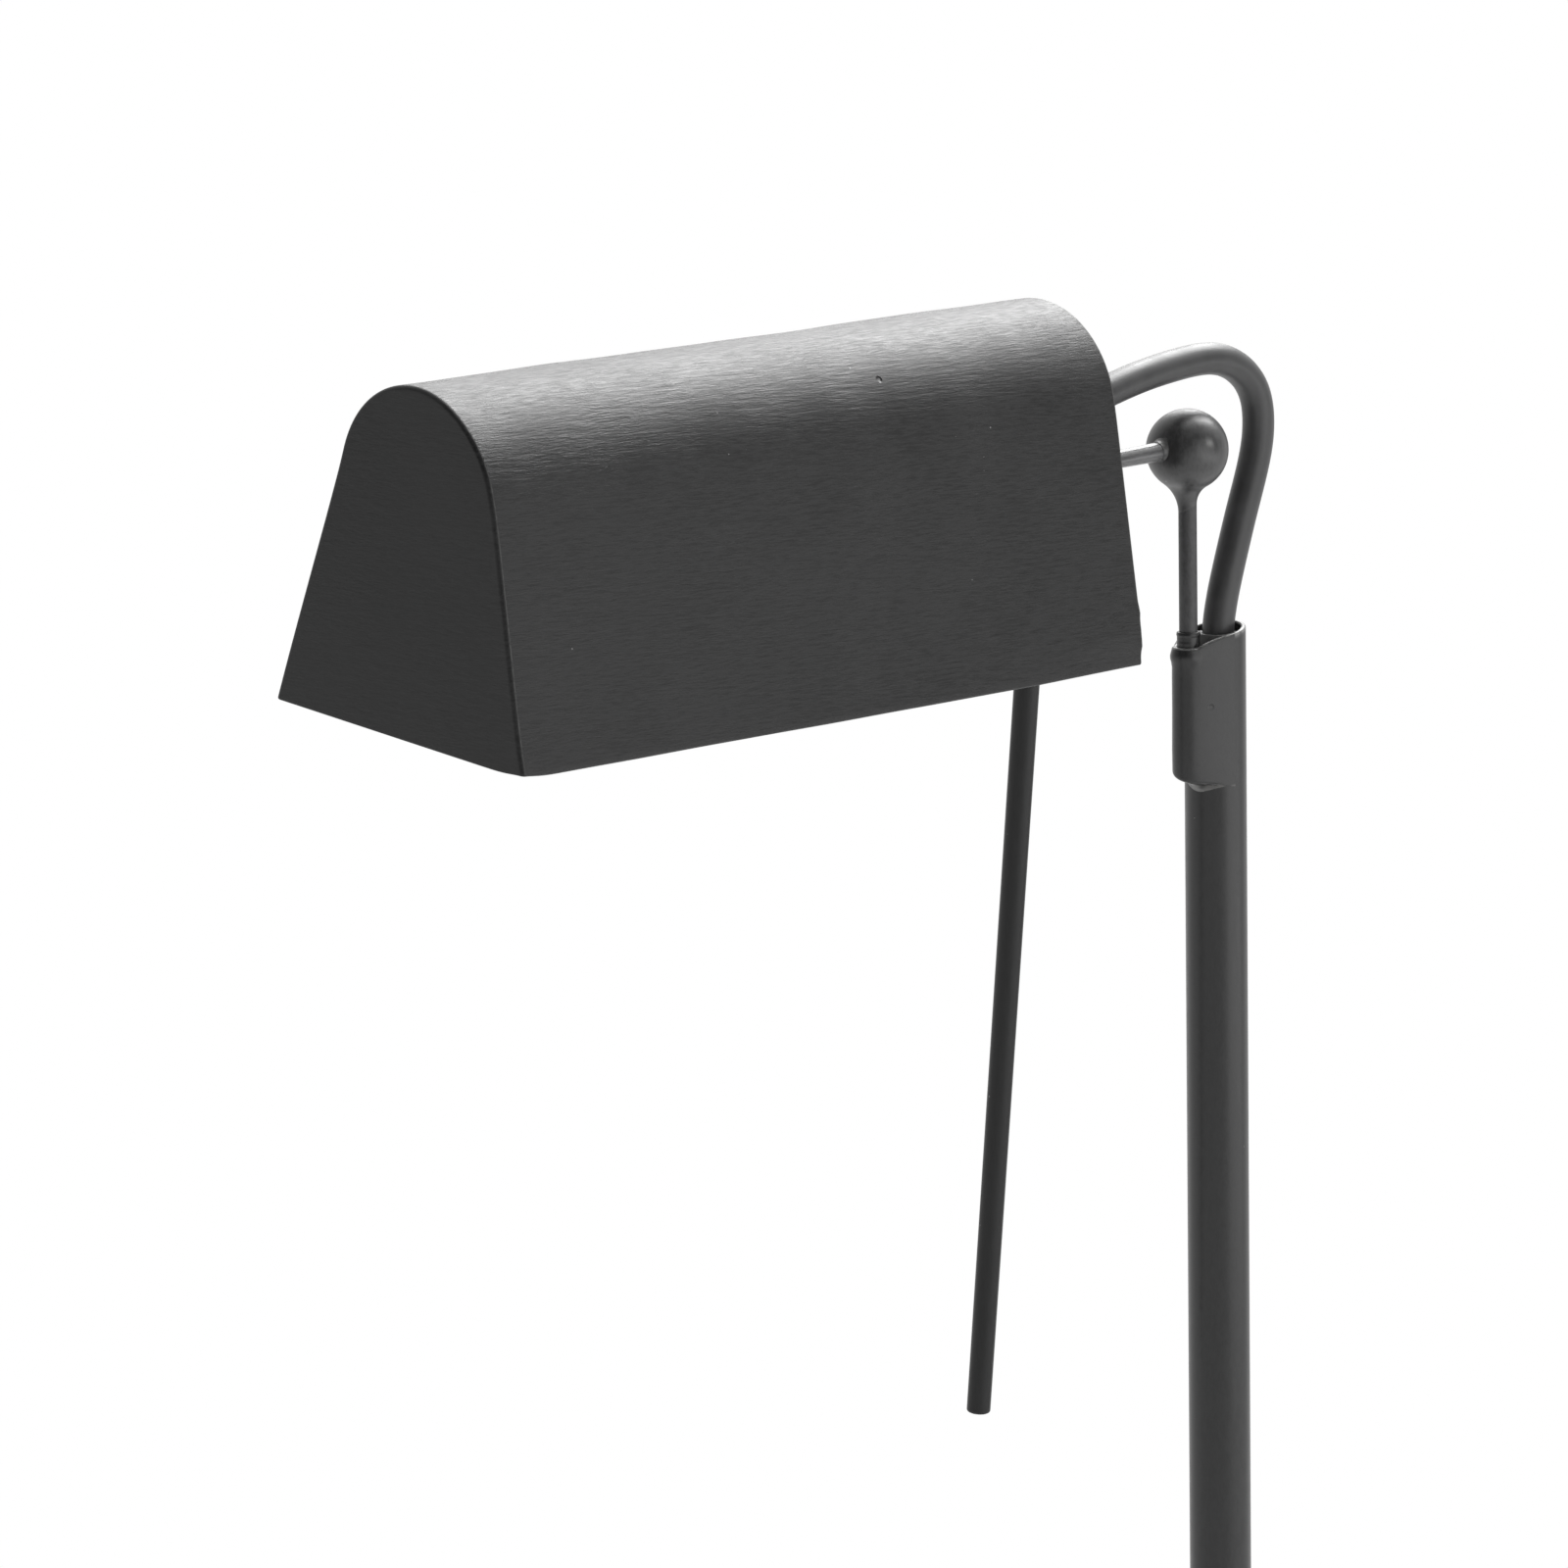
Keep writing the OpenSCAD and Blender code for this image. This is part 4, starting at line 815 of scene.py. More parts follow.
# Rows of the socket's tube, in mm below its brim, and the swell of the tube there, in mm
TUBE_DROPS = (20.0, 12.0, 6.0, 4.0, 3.0, 2.4, 1.8, 1.2)
TUBE_SWELL, SWELL_DROP, TUBE_WAVE = 0.28, 2.0, 0.05
# Pale wear and painted highlight on the brim and on the fillet's two edges
BRIM_WEAR_AND_HIGHLIGHT, FILLET_WEAR_AND_HIGHLIGHT = 0.6, 0.3
# Bush in the socket: radius, depth and rise above the tube, and its beads in mm, (outset, height, round)
BUSH_R, BUSH_DEPTH, BUSH_RISE = upright("swivel_bush")[1], 16 * MM, 2.7 * MM
BUSH_BEADS = ((-0.02, 0.0, 0.1), (0.02, 0.55, 0.2), (-0.03, 1.0, 0.25), (-0.03, 1.7, 0.25),
              (0.08, 2.15, 0.25), (-0.02, BUSH_RISE / MM, 0.25))
# Stem: its radius with the paint, its place, and its distance from the pole's axis
STEM_R, STEM_AT, STEM_OFFSET = upright("swivel_stem")[1] + 0.08 * MM, BALL[:2], -BALL[0]


def slanted_cut(a):
    """Height of the slanted cut through the pole's top, round its axis."""
    return BALL[2] - RIM_DROP + POLE_R * np.cos(a) * math.tan(RIM_SLANT)


def rim_height(a):
    """Height of the pole's rim round its axis: the slanted cut, which falls off in an exponential curve
    under the socket's brim, and a slot down to the socket's foot where the bush stands in the wall."""
    off = np.degrees(np.abs(np.mod(a, FULL) - math.pi))
    near = np.hypot(off, DIP_ROUND) - DIP_ROUND
    dip = RIM_DIP * np.exp(-near / DIP_REACH)
    rim = slanted_cut(a) - dip - BRIM_STEP * ease((STEP_FROM - off) / STEP_OVER)
    return np.where(off < SLOT_HALF, BALL[2] - SOCKET_FOOT + SLOT_FLOOR, rim)


def add_pole():
    """Tube: its wall's loop, up the outside, over a rounded lip that follows the rim, and down the bore."""
    foot, bore, a = upright("pole")[2], POLE_R - POLE_WALL, circle(120)
    over = [(POLE_R - LIP * (1 - math.cos(v)), LIP * (1 - math.sin(v))) for v in quarter(6)]
    under = [(bore + LIP * (1 - math.sin(v)), LIP * (1 - math.cos(v))) for v in quarter(6)]
    below = [(POLE_R, 3 * MM), (POLE_R, 1.2 * MM), (POLE_R, 0.6 * MM)]
    inner = [(bore, 0.6 * MM), (bore, 1.5 * MM)]
    plain = BALL[2] - SOCKET_FOOT - PLAIN_DROP
    flat = [ring(r, a, z) for r, z in ((bore, foot), (POLE_R, foot), (POLE_R, plain))]
    rows = [ring(r, a, rim_height(a) - drop) for r, drop in below + over + under + inner]
    grid = np.array([*flat, *rows, flat[0]])
    lip = len(flat) + len(below)
    # The lip is painted pale, as wear and a painted highlight, with a fainter row under it
    worn = np.zeros((len(grid), 1))
    worn[lip - 1] = UNDER_LIP_WEAR_AND_HIGHLIGHT
    worn[lip:lip + len(over) + 2] = 1
    piece("pole_tube", "stand", rod_paint, "pole", grid, worn=[worn])


def socket_plan(inset):
    """Closed plan (x, y) of the socket: the convex curve round the pole and the stem's tube, whose distance
    from the pole's axis along each normal is a soft maximum of the two circles' distances, and as many
    points back along an arc at the pole's bore. Its ends sink into the pole. The tube's share comes too."""
    a = PLAN_TURN
    normal, along = np.column_stack([np.cos(a), np.sin(a)]), np.column_stack([-np.sin(a), np.cos(a)])
    gap = SOCKET_R - POLE_R - STEM_OFFSET * np.cos(a)
    reach = POLE_R - inset + BLEND_SOFT * np.logaddexp(0, gap / BLEND_SOFT)
    share = 1 / (1 + np.exp(-gap / BLEND_SOFT))
    outer = reach[:, None] * normal + (share * STEM_OFFSET * np.sin(a))[:, None] * along
    outer[[0, -1]] *= 1 - BLEND_SINK / POLE_R
    back = (POLE_R - POLE_WALL - BACK_GAP) * unit(outer[::-1])
    return outer, back, share


def add_socket():
    """Socket brazed to the pole: its plan rises from a hollow fillet on the pole to a rounded brim. The
    fillet's rows slide from the plan to the pole's surface and fall, further where the plan stands prouder.
    The foot is askew, the tube swells a little below its top, and the brim falls from the pole's slanted
    cut by a power of the tube's share."""
    plan, back, share = socket_plan(0)
    lowest = BALL[2] - SOCKET_DROP - BRIM_LOW
    brim = np.maximum(slanted_cut(PLAN_TURN) - BRIM_FALL * share ** BRIM_POWER, lowest)
    hug = (POLE_R - HUG_IN) * unit(plan)
    proud = np.maximum(np.linalg.norm(plan, axis=1) - POLE_R, 0)
    fall = BRAZE_FALL * np.sqrt(proud / proud.max())
    edge = np.minimum(FOOT_EDGE, 0.5 * proud)
    shrunk = socket_plan(edge)[0]
    away = ease((STEM_AT[0] + 0.5 * MM - plan[:, :1]) / (2.5 * MM))
    outwards = away * unit(plan - STEM_AT) * MM
    rows = []

    def add_row(outer, height, inner=back):
        loop = np.concatenate([outer, inner])
        rows.append(np.column_stack([loop, np.concatenate([height, height[::-1]])]))

    def foot_height(outer):
        return BRAZE_FOOT + BRAZE_SLOPE * outer[:, 1]

    spine = (hug + back[::-1]) / 2
    add_row(spine, foot_height(hug) - fall, spine[::-1])
    for slide in np.linspace(1, 0.08, FILLET_ROWS):
        outer = shrunk + (hug - shrunk) * slide
        add_row(outer, foot_height(outer) - fall * slide ** FILLET_POWER)
    for v in quarter(8):
        outer = socket_plan(edge * (1 - math.sin(v)))[0]
        add_row(outer, foot_height(outer) + FOOT_BEND * (1 - math.cos(v)))
    for drop in TUBE_DROPS:
        swell = TUBE_SWELL * bell(drop - SWELL_DROP) + TUBE_WAVE * math.sin(drop)
        add_row(plan + swell * outwards, brim - drop * MM)
    crown = len(rows)
    for v in quarter(8):
        add_row(socket_plan(BRIM_EDGE * (1 - math.cos(v)))[0], brim - BRIM_EDGE * (1 - math.sin(v)))
    spine = (socket_plan(BRIM_EDGE)[0] + back[::-1]) / 2
    add_row(spine, brim, spine[::-1])
    grid = np.array(rows)
    inner = grid[:, len(PLAN_TURN):, 2]
    inner[:] = inner[0] + (inner[-1] - inner[0]) * np.linspace(0, 1, len(rows))[:, None]
    # Pale wear and painted highlight on the fillet's edges and on the brim
    worn = np.zeros((len(rows), 1))
    worn[[1, 2, FILLET_ROWS - 1, FILLET_ROWS]] = FILLET_WEAR_AND_HIGHLIGHT
    worn[crown + 2:] = BRIM_WEAR_AND_HIGHLIGHT
    piece("socket_tube", "stand", socket_paint, "stem_socket", grid, worn=[worn])


def add_bush():
    """Turned bush: a plain sleeve in the socket and two soft beads above it."""
    top, bore, edge = BALL[2] - SOCKET_DROP, STEM_R + 0.05 * MM, 0.1 * MM
    low, high = top - BUSH_DEPTH, top + BUSH_RISE
    beads = [(BUSH_R + outset * MM, top + height * MM, soft * MM) for outset, height, soft in BUSH_BEADS]
    bush = rounded([(bore, low), (BUSH_R, low, edge), *beads, (bore, high, edge), (bore, low)], 5)
    piece("swivel_bush_beads", "stand", rod_paint, "swivel_bush", standing(turned(bush), STEM_AT))


def add_stem():
    """Round stem from the socket's floor up into the ball."""
    place, _, low, high = upright("swivel_stem")
    stem = turned(post_section(STEM_R, low, high, 0.3 * MM), 48)
    piece("stem_wire", "knuckle", knuckle_paint, "swivel_stem", standing(stem, place))


# Neck under the ball: mean drop to its end, and how much it is longer on one side, towards an angle from x
NECK_DROP, NECK_SKEW, NECK_SIDE = 11.3 * MM, 0.8 * MM, math.radians(136)
# Gap between the neck's end and the stem, and the step of its closing row
NECK_GAP, NECK_STEP = 0.005 * MM, 0.05 * MM
# Dents in the ball: direction from its centre, depth in mm and width in radians
DENTS = (((-0.23, -0.92, 0.32), 0.16, 0.24), ((-0.86, -0.25, 0.44), 0.10, 0.20),
         ((-0.55, -0.70, 0.45), 0.06, 0.16), ((0.30, 0.85, 0.35), 0.10, 0.22),
         ((0.75, -0.30, -0.10), 0.07, 0.26))
# Radius of the painted tilt rod, the share that it widens and the height that it climbs towards its weld
ROD_R, ROD_FLARE, ROD_LIFT = 1.55 * MM, 0.22, 0.55 * MM
# Stretch of the rod that widens, from its end in the ball, and the radius and length of its thin end
FLARE_FROM, FLARE_TO = 9 * MM, 32 * MM
THIN_R, THIN_L = 1.25 * MM, 6 * MM
# Weld between ball and rod: the radius of its hollow, how far it is set back, its columns, and the painted
# highlight on its upper side
WELD_R, WELD_BACK, WELD_COLUMNS, WELD_HIGHLIGHT = 1.6 * MM, 0.3 * MM, 48, 0.7
# Radius of the painted highlight speck on the ball, and its strength
HIGHLIGHT_SPECK_R, SPECK_HIGHLIGHT = 0.7 * MM, 1.0


def ball_grid(radius):
    """Ball about its centre that runs into its neck through a hollow arc touching both, longer on one side:
    round the axis, each column's two arcs by angle. Bell curves of the angle to a direction make dents."""
    stem, a = STEM_R + NECK_GAP, circle(96)
    neck = NECK_DROP + NECK_SKEW * np.cos(a - NECK_SIDE)
    hollow = (neck ** 2 + stem ** 2 - radius ** 2) / (2 * (radius - stem))
    meet = np.arctan2(-neck, stem + hollow)
    up = math.pi / 2 + (meet - math.pi / 2) * np.linspace(0, 1, 56)[:, None]
    globe = radius * np.stack([np.cos(up), np.sin(up)])
    turn = meet + math.pi - meet * np.linspace(0, 1, 20)[1:, None]
    waist = np.stack([stem + hollow + hollow * np.cos(turn), hollow * np.sin(turn) - neck])
    end = np.array([[0.98 * stem + 0 * a, 0 * a], [-neck - NECK_STEP, 0 * a - NECK_DROP]])
    r, h = np.concatenate([globe, waist, end], 1)
    grid = ring(r, a, h)
    way = unit(grid)
    for aim, depth, width in DENTS:
        angle = np.arccos(np.clip(way @ unit(np.array(aim)), -1, 1))
        grid -= depth * MM * bell(angle / width)[..., None] * way
    return grid


def weld_grid(radius):
    """Weld round the tilt rod: an arc touching the ball and the rod, turned about the rod and closed."""
    rod = ROD_R * (1 + ROD_FLARE)
    reach = math.sqrt((radius + WELD_R) ** 2 - (rod + WELD_R) ** 2)
    v = np.linspace(math.pi + math.atan2(rod + WELD_R, reach), 1.5 * math.pi, 12)
    arc = np.column_stack([rod + WELD_R + WELD_R * np.sin(v), reach + WELD_R * np.cos(v)])
    end = arc[-1, 1] + 0.1 * MM
    weld = np.concatenate([[(0, 0.8 * radius), 0.9 * arc[0]], arc, [(0.9 * rod, end), (0, end)]])
    return in_lamp_line(turned(weld, WELD_COLUMNS), WELD_BACK, ROD_LIFT)


def add_ball():
    """Ball with its neck and its weld. The weld's upper side and one speck on the ball are painted pale as
    highlights.
    """
    radius = upright("knuckle_ball")[1]
    ball = ball_grid(radius) + BALL
    # Painted highlights: a pale speck on the ball and a pale upper side of the weld
    highlight_speck = SPECK_HIGHLIGHT * bell(np.linalg.norm(ball - HIGHLIGHT_SPECK_AT, axis=-1) / HIGHLIGHT_SPECK_R)
    above = WELD_HIGHLIGHT * np.maximum(np.sin(circle(WELD_COLUMNS)), 0)
    piece("ball_and_neck", "knuckle", ball_paint, "knuckle_ball", ball, weld_grid(radius),
          worn=[highlight_speck, above])


def add_tilt_rod():
    """Tilt rod: a round bar that widens and climbs evenly towards its weld, with a thin far end."""
    _, _, rear, length = lying("tilt_rod")
    edge, step, shoulder = 0.3 * MM, 0.15 * MM, length - THIN_L
    bar = rounded([(0, 0), (ROD_R, 0, edge), (ROD_R, FLARE_FROM), (ROD_R, FLARE_TO),
                   (ROD_R, shoulder, step), (THIN_R, shoulder), (THIN_R, length, edge), (0, length)], 5)
    u, v, h = np.moveaxis(turned(bar, 40), -1, 0)
    flare = np.clip((FLARE_TO - h) / (FLARE_TO - FLARE_FROM), 0, 1)
    wide = 1 + ROD_FLARE * flare
    grid = np.stack([u * wide, v * wide + ROD_LIFT * flare, h], -1)
    piece("tilt_rod_bar", "knuckle", tilt_rod_paint, "tilt_rod", in_lamp_line(grid, rear))


# Handle: radius of its tip, the length at its upper end that stays straight, and its bow below that
HANDLE_TIP_R, HANDLE_STRAIGHT, HANDLE_BOW = 2.3 * MM, 27 * MM, 0.7 * MM


def add_handle():
    """Handle: a round rod that tapers and bows towards its tip, flat where it lies on the rear cap."""
    low, high = shade_corners("handle_rod")
    top_r, length = (high - low)[1] / 2, (high - low)[2]
    middle, bowed = high[0] - top_r, length - HANDLE_STRAIGHT
    taper, tip_edge, top_edge = 0.04 * MM, 0.5 * MM, 0.8 * MM
    rod = rounded([(0, 0), (HANDLE_TIP_R, 0, tip_edge), (top_r - taper, bowed), (top_r, length, top_edge),
                   (0, length)], 6)
    x, y, z = np.moveaxis(turned(rod, 64), -1, 0)
    x = middle + x + HANDLE_BOW * ease(1 - z / bowed)
    z = z + low[2]
    seat = ease((z - EDGE_Z + 3 * MM) / (2 * MM))
    x = x * (1 - seat) + np.maximum(x, REAR_X) * seat
    piece("handle_bar", "shade", handle_paint, "handle_rod", from_shade(np.stack([x, y, z], -1)))


def add_pivot():
    """Rings on the tilt rod behind the rear cap, and the lead's grommet, turned from their sections."""
    radius, _, rear, length = lying("stop_collar")
    collar = turned(ring_section(ROD_R, radius, length, 0.5 * MM))
    piece("stop_ring", "knuckle", rod_paint, "stop_collar", in_lamp_line(collar, rear))
    for side in ("outer", "inner"):
        node = side + "_friction_washer"
        radius, _, rear, length = lying(node)
        washer = turned(ring_section(ROD_R, radius, length, 0.15 * MM))
        piece(side + "_fibre_ring", "knuckle", red_fibre, node, in_lamp_line(washer, rear))
    radius, _, rear, length = lying("pivot_bush")
    flange, tube = 1.2 * MM, 3.0 * MM
    bush = rounded([(ROD_R, 0), (radius, 0, 0.4 * MM), (radius, flange, 0.2 * MM), (tube, flange),
                    (tube, length, 0.3 * MM), (ROD_R, length), (ROD_R, 0)], 5)
    piece("pivot_bush_turned", "shade", brass, "pivot_bush", in_lamp_line(turned(bush), rear))
    radius, axis, rear, length = lying("cable_grommet")
    bore, waist, lip, edge = LEAD_R + 0.02 * MM, 4.4 * MM, 1.4 * MM, 0.3 * MM
    grommet = rounded([(bore, 0.5 * MM), (bore, 0, edge), (radius, 0, 0.8 * MM), (radius, lip, edge),
                       (waist, lip), (waist, length - lip), (radius, length - lip, edge),
                       (radius, length, 0.6 * MM), (bore, length), (bore, 0.5 * MM)], 6)
    piece("lead_grommet", "shade", black_rubber, "cable_grommet", in_lamp_line(turned(grommet), rear, axis))


add_pole()
add_socket()
add_bush()
add_stem()
add_ball()
add_tilt_rod()
add_handle()
add_pivot()

# Base: radius of the hollow under it, and the thickness of its top over the hollow
HOLLOW_R, TOP_T = 50 * MM, 6 * MM
# Flutes and ribs: depth as a share of the radius, and their counts on the switch's nut and the lampholder
FLUTE_SHARE, FLUTES, RIBS = 0.02, 45, 36


def add_base():
    """Turned base: a disc with a rounded top edge over a hollow, a collar round the pole and a felt pad."""
    place, radius, low, high = upright("base_disc")
    roof = high - TOP_T
    disc = rounded([(POLE_R, high), (radius, high, 3 * MM), (radius, low, 0.8 * MM), (HOLLOW_R, low),
                    (HOLLOW_R, roof), (POLE_R, roof), (POLE_R, high)], 9)
    piece("base_turned", "stand", base_paint, "base_disc", standing(turned(disc, 180), place))
    place, radius, low, high = upright("pole_collar")
    collar = rounded([(POLE_R, low), (radius, low, 0.3 * MM), (radius, high, 1.2 * MM), (POLE_R, high),
                      (POLE_R, low)], 8)
    piece("foot_collar", "stand", base_paint, "pole_collar", standing(turned(collar, 96), place))
    place, radius, low, high = upright("base_felt")
    pad = turned(post_section(radius, low, high, 0.6 * MM), 144)
    piece("felt_pad", "stand", felt, "base_felt", standing(pad, place))


def add_switch():
    """Push switch: a knurled ring nut, whose flutes are a cosine round its edge, and a domed button."""
    place, radius, low, high = upright("switch_ring_nut")
    bore, slope, edge = 6 * MM, 0.5 * MM, 0.3 * MM
    nut = rounded([(bore, low), (radius, low, 0.2 * MM), (radius, high - slope, edge),
                   (radius - 0.8 * MM, high, 0.2 * MM), (bore, high, edge), (bore, low)], 5)
    grid = turned(nut, 360)
    reach = np.linalg.norm(grid[..., :2], axis=-1)
    grid = fluted(grid, FLUTE_SHARE * ease((reach - radius + 1.2 * MM) / (0.8 * MM)), FLUTES)
    piece("switch_knurled_nut", "stand", zinc_steel, "switch_ring_nut", standing(grid, place))
    place, radius, low, high = upright("switch_button")
    v, crown = quarter(14), 1.3 * MM
    dome = np.column_stack([radius * np.cos(v) ** 0.7, high - crown + crown * np.sin(v)])
    side = [(0, low), (radius, low), (radius, high - 2.5 * MM), (radius, high - crown - 0.3 * MM)]
    button = turned(np.concatenate([side, dome]))
    piece("switch_push_button", "button", bakelite, "switch_button", standing(button, place))


def add_gland():
    """Outlet gland: a tapered rubber flange with soft edges and a bore, turned about x."""
    low, high = corners("outlet_gland")
    radius, middle, length = (high - low)[2] / 2, (low + high)[2] / 2, (high - low)[0]
    bore, neck, taper, edge, flange = 3.2 * MM, 5 * MM, 1.5 * MM, 0.3 * MM, length - 3 * MM
    gland = rounded([(bore, 0), (neck, 0, edge), (neck, flange), (radius, flange, edge),
                     (radius - taper, length, 0.8 * MM), (bore, length, 0.5 * MM), (bore, 0)], 6)
    u, v, h = np.moveaxis(turned(gland), -1, 0)
    grid = np.stack([low[0] + h, u, middle + v], -1)
    piece("outlet_gland_moulded", "stand", black_rubber, "outlet_gland", grid)


add_base()
add_switch()
add_gland()


# Lamp and lampholder inside the shade

def add_lamp_glass():
    """Tubular opal glass that swells from its neck by a quarter of a sine and ends in a flat dome."""
    radius, axis, rear, length = lying("lamp_glass")
    neck, low, shoulder, dome, flat = 6.9 * MM, 2 * MM, 11 * MM, 0.55 * radius, 1 * MM
    v = quarter(16)
    swell = np.column_stack([neck + (radius - neck) * np.sin(v), shoulder - (shoulder - low) * np.cos(v)])
    tip = np.column_stack([radius * np.cos(v), length - dome + dome * np.sin(v)])
    side = [(radius, shoulder + flat), (radius, length - dome - flat)]
    glass = turned(np.concatenate([[(0, 0), (neck, 0)], swell, side, tip]), 96)
    piece("lamp_envelope", "shade", opal_glass, "lamp_glass", in_lamp_line(glass, rear, axis))


def add_lamp_cap():
    """Screw cap of the lamp: its thread is a sine of the height less the angle, faded at both ends."""
    radius, axis, rear, length = lying("lamp_cap")
    pitch, depth, low, high = 2.8 * MM, 0.35 * MM, 3 * MM, 17.5 * MM
    a, h = circle(72), np.linspace(low, high, 80)[:, None]
    fade = ease((h - low) / (2 * MM)) * ease((high - h) / (1.5 * MM))
    thread = ring(radius - depth + depth * fade * np.sin(FULL * h / pitch - a), a, h)
    contact = turned(np.array([(0, 0), (2.2, 0), (2.5, 0.3), (2.6, 1.6), (4.5, 2.2)]) * MM)
    skirt, bevel = radius - 0.1 * MM, radius - 0.4 * MM
    rim = turned([(skirt, high + 1 * MM), (skirt, length - 0.2 * MM), (bevel, length), (0, length)])
    cap = np.concatenate([contact, thread, rim])
    piece("lamp_screw_cap", "shade", nickel, "lamp_cap", in_lamp_line(cap, rear, axis))


def add_lampholder():
    """Moulded lampholder: a domed cap, and a skirt with ribs round its edge, on a threaded tube."""
    radius, axis, rear, length = lying("lampholder_cap")
    bore, wall = 5 * MM, 1.6 * MM
    inside = radius - wall
    dome = rounded([(bore, 0), (radius - bore, 0, 1.5 * MM), (inside, 3.5 * MM, 2 * MM),
                    (radius, 8 * MM, 2 * MM), (radius, length, 0.4 * MM), (inside, length),
                    (inside, 9 * MM), (bore, 6 * MM), (bore, 0)], 7)
    dome = turned(dome, 96)
    piece("lampholder_dome", "shade", bakelite, "lampholder_cap", in_lamp_line(dome, rear, axis))
    radius, axis, rear, length = lying("lampholder_body")
    inside, waist, mouth = radius - wall, radius - 0.7 * MM, 7.2 * MM
    floor, depth, bead, rib_low, rib_high = 4 * MM, 8 * MM, 5 * MM, 7 * MM, 20 * MM
    skirt = rounded([(0, floor), (inside, floor), (inside, 0), (radius, 0, 0.4 * MM),
                     (radius, bead, 0.3 * MM), (waist, bead + 0.7 * MM, 0.2 * MM),
                     (waist, length, 1.2 * MM), (mouth, length, 0.6 * MM), (mouth, depth), (0, depth)], 7)
    grid = turned(skirt, 288)
    reach, h = np.linalg.norm(grid[..., :2], axis=-1), grid[..., 2]
    ribbed = ease((h - rib_low) / MM) * ease((rib_high - h) / MM) * (reach > radius - 1.2 * MM)
    grid = fluted(grid, FLUTE_SHARE * ribbed, RIBS)
    piece("lampholder_skirt", "shade", bakelite, "lampholder_body", in_lamp_line(grid, rear, axis))
    radius, axis, rear, length = lying("lampholder_nipple")
    tube = turned(ring_section(3.7 * MM, radius, length, 0.3 * MM), 64)
    piece("lampholder_tube", "shade", zinc_steel, "lampholder_nipple", in_lamp_line(tube, rear, axis))


# Lampholder's strip: its thickness, the round of its edges, the radius of its bends and its foot's height
STRIP_T, STRIP_EDGE, STRIP_BEND, STRIP_FOOT = 1.5 * MM, 0.3 * MM, 2.2 * MM, 22.5 * MM


def add_bracket():
    """Folded strip: a rounded rectangle carried along a path with two bends, whose last stretch narrows to
    a round end by the circle's chord."""
    low, high = shade_corners("lampholder_bracket")
    half = (high - low)[1] / 2
    foot_x, leg_x, arm_z = high[0] - STRIP_T / 2, low[0] + STRIP_T / 2, low[2] + STRIP_T / 2
    foot_z, end_z = EDGE_Z + STRIP_FOOT, high[2] - half
    path = rounded([(foot_x, foot_z), (foot_x, foot_z - 1 * MM), (foot_x, arm_z, STRIP_BEND),
                    (leg_x, arm_z, STRIP_BEND), (leg_x, end_z)], 9)
    rise = half * np.sin(quarter(16))
    chord = np.sqrt(np.maximum(half ** 2 - rise ** 2, 0)) + 0.02 * MM
    width = np.concatenate([np.full(len(path), half), chord])[:, None]
    path = np.concatenate([path, np.column_stack([leg_x + 0 * rise, end_z + rise])])
    step = unit(np.gradient(path, axis=0))
    across = np.column_stack([-step[:, 1], step[:, 0]])
    corner = np.column_stack([np.cos(quarter(4)), np.sin(quarter(4))])
    turns = [corner @ np.array([[c, s], [-s, c]]) for c, s in ((1, 0), (0, 1), (-1, 0), (0, -1))]
    y_round, d_round = STRIP_EDGE * np.concatenate(turns).T
    y_side, d_side = np.repeat([(1, 1), (-1, 1), (-1, -1), (1, -1)], len(corner), 0).T
    y = y_side * np.maximum(width - STRIP_EDGE, 0) + y_round
    d = d_side * (STRIP_T / 2 - STRIP_EDGE) + d_round
    x, z = np.moveaxis(path[:, None] + d[:, None] * across[:, None], -1, 0)
    grid = np.stack([x, y, z], -1)
    strip = capped(grid, grid[0].mean(0), grid[-1].mean(0))
    piece("lampholder_strip", "shade", zinc_steel, "lampholder_bracket", from_shade(strip))


# Screws: radius and height of their pan heads, width and depth of a slot in one, and radius of both shanks
HEAD_R, HEAD_H, SCREW_SLOT = 2.3 * MM, 1.8 * MM, 0.9 * MM
HANDLE_SHANK, EARTH_SHANK = 1.25 * MM, 1.5 * MM


def slotted_head():
    """Pan head on a disc: rows across the slot at heights of an ellipse, those in the slot lower by its
    depth, with doubled rows at the slot's walls."""
    half = SCREW_SLOT / 2 / HEAD_R
    side = np.sin(np.linspace(math.asin(half), math.pi / 2, 10))
    y = np.concatenate([-side[::-1], [-half, half], side])[:, None]
    in_slot = np.abs(np.arange(len(y))[:, None] - (len(y) - 1) / 2) < 1
    x = np.sqrt(np.maximum(1 - y ** 2, 0)) * np.sin(np.linspace(-math.pi / 2, math.pi / 2, 23))
    dome = HEAD_H * np.maximum(1 - x ** 2 - y ** 2, 0) ** 0.35
    z = np.where(in_slot, np.minimum(dome, HEAD_H - SCREW_SLOT), dome)
    return np.stack([x * HEAD_R, y * HEAD_R + 0 * x, z], -1)


def add_screws():
    """Slotted pan heads over the handle's two screws on the bracket's foot, and the earth screw."""
    head, edge = slotted_head(), 0.2 * MM
    low, high = shade_corners("handle_screws")
    shank = turned(post_section(HANDLE_SHANK, 0, (high - low)[0] - HEAD_H, edge), 32)
    grids = []
    for z in (low[2] + HEAD_R, high[2] - HEAD_R):
        grids += [in_lamp_line(head, low[0] + HEAD_H, z), in_lamp_line(shank, high[0], z)]
    piece("handle_pan_screws", "shade", zinc_steel, "handle_screws", *grids)
    low, high = shade_corners("earth_screw")
    under, z = high[0] - HEAD_H, (low + high)[2] / 2
    shank = turned(post_section(EARTH_SHANK, 0, under - low[0], edge), 32)
    u, v, h = np.moveaxis(head, -1, 0)
    shown = from_shade(np.stack([under + h, u, z + v], -1))
    piece("earth_pan_screw", "shade", brass, "earth_screw", shown, in_lamp_line(shank, under, z))


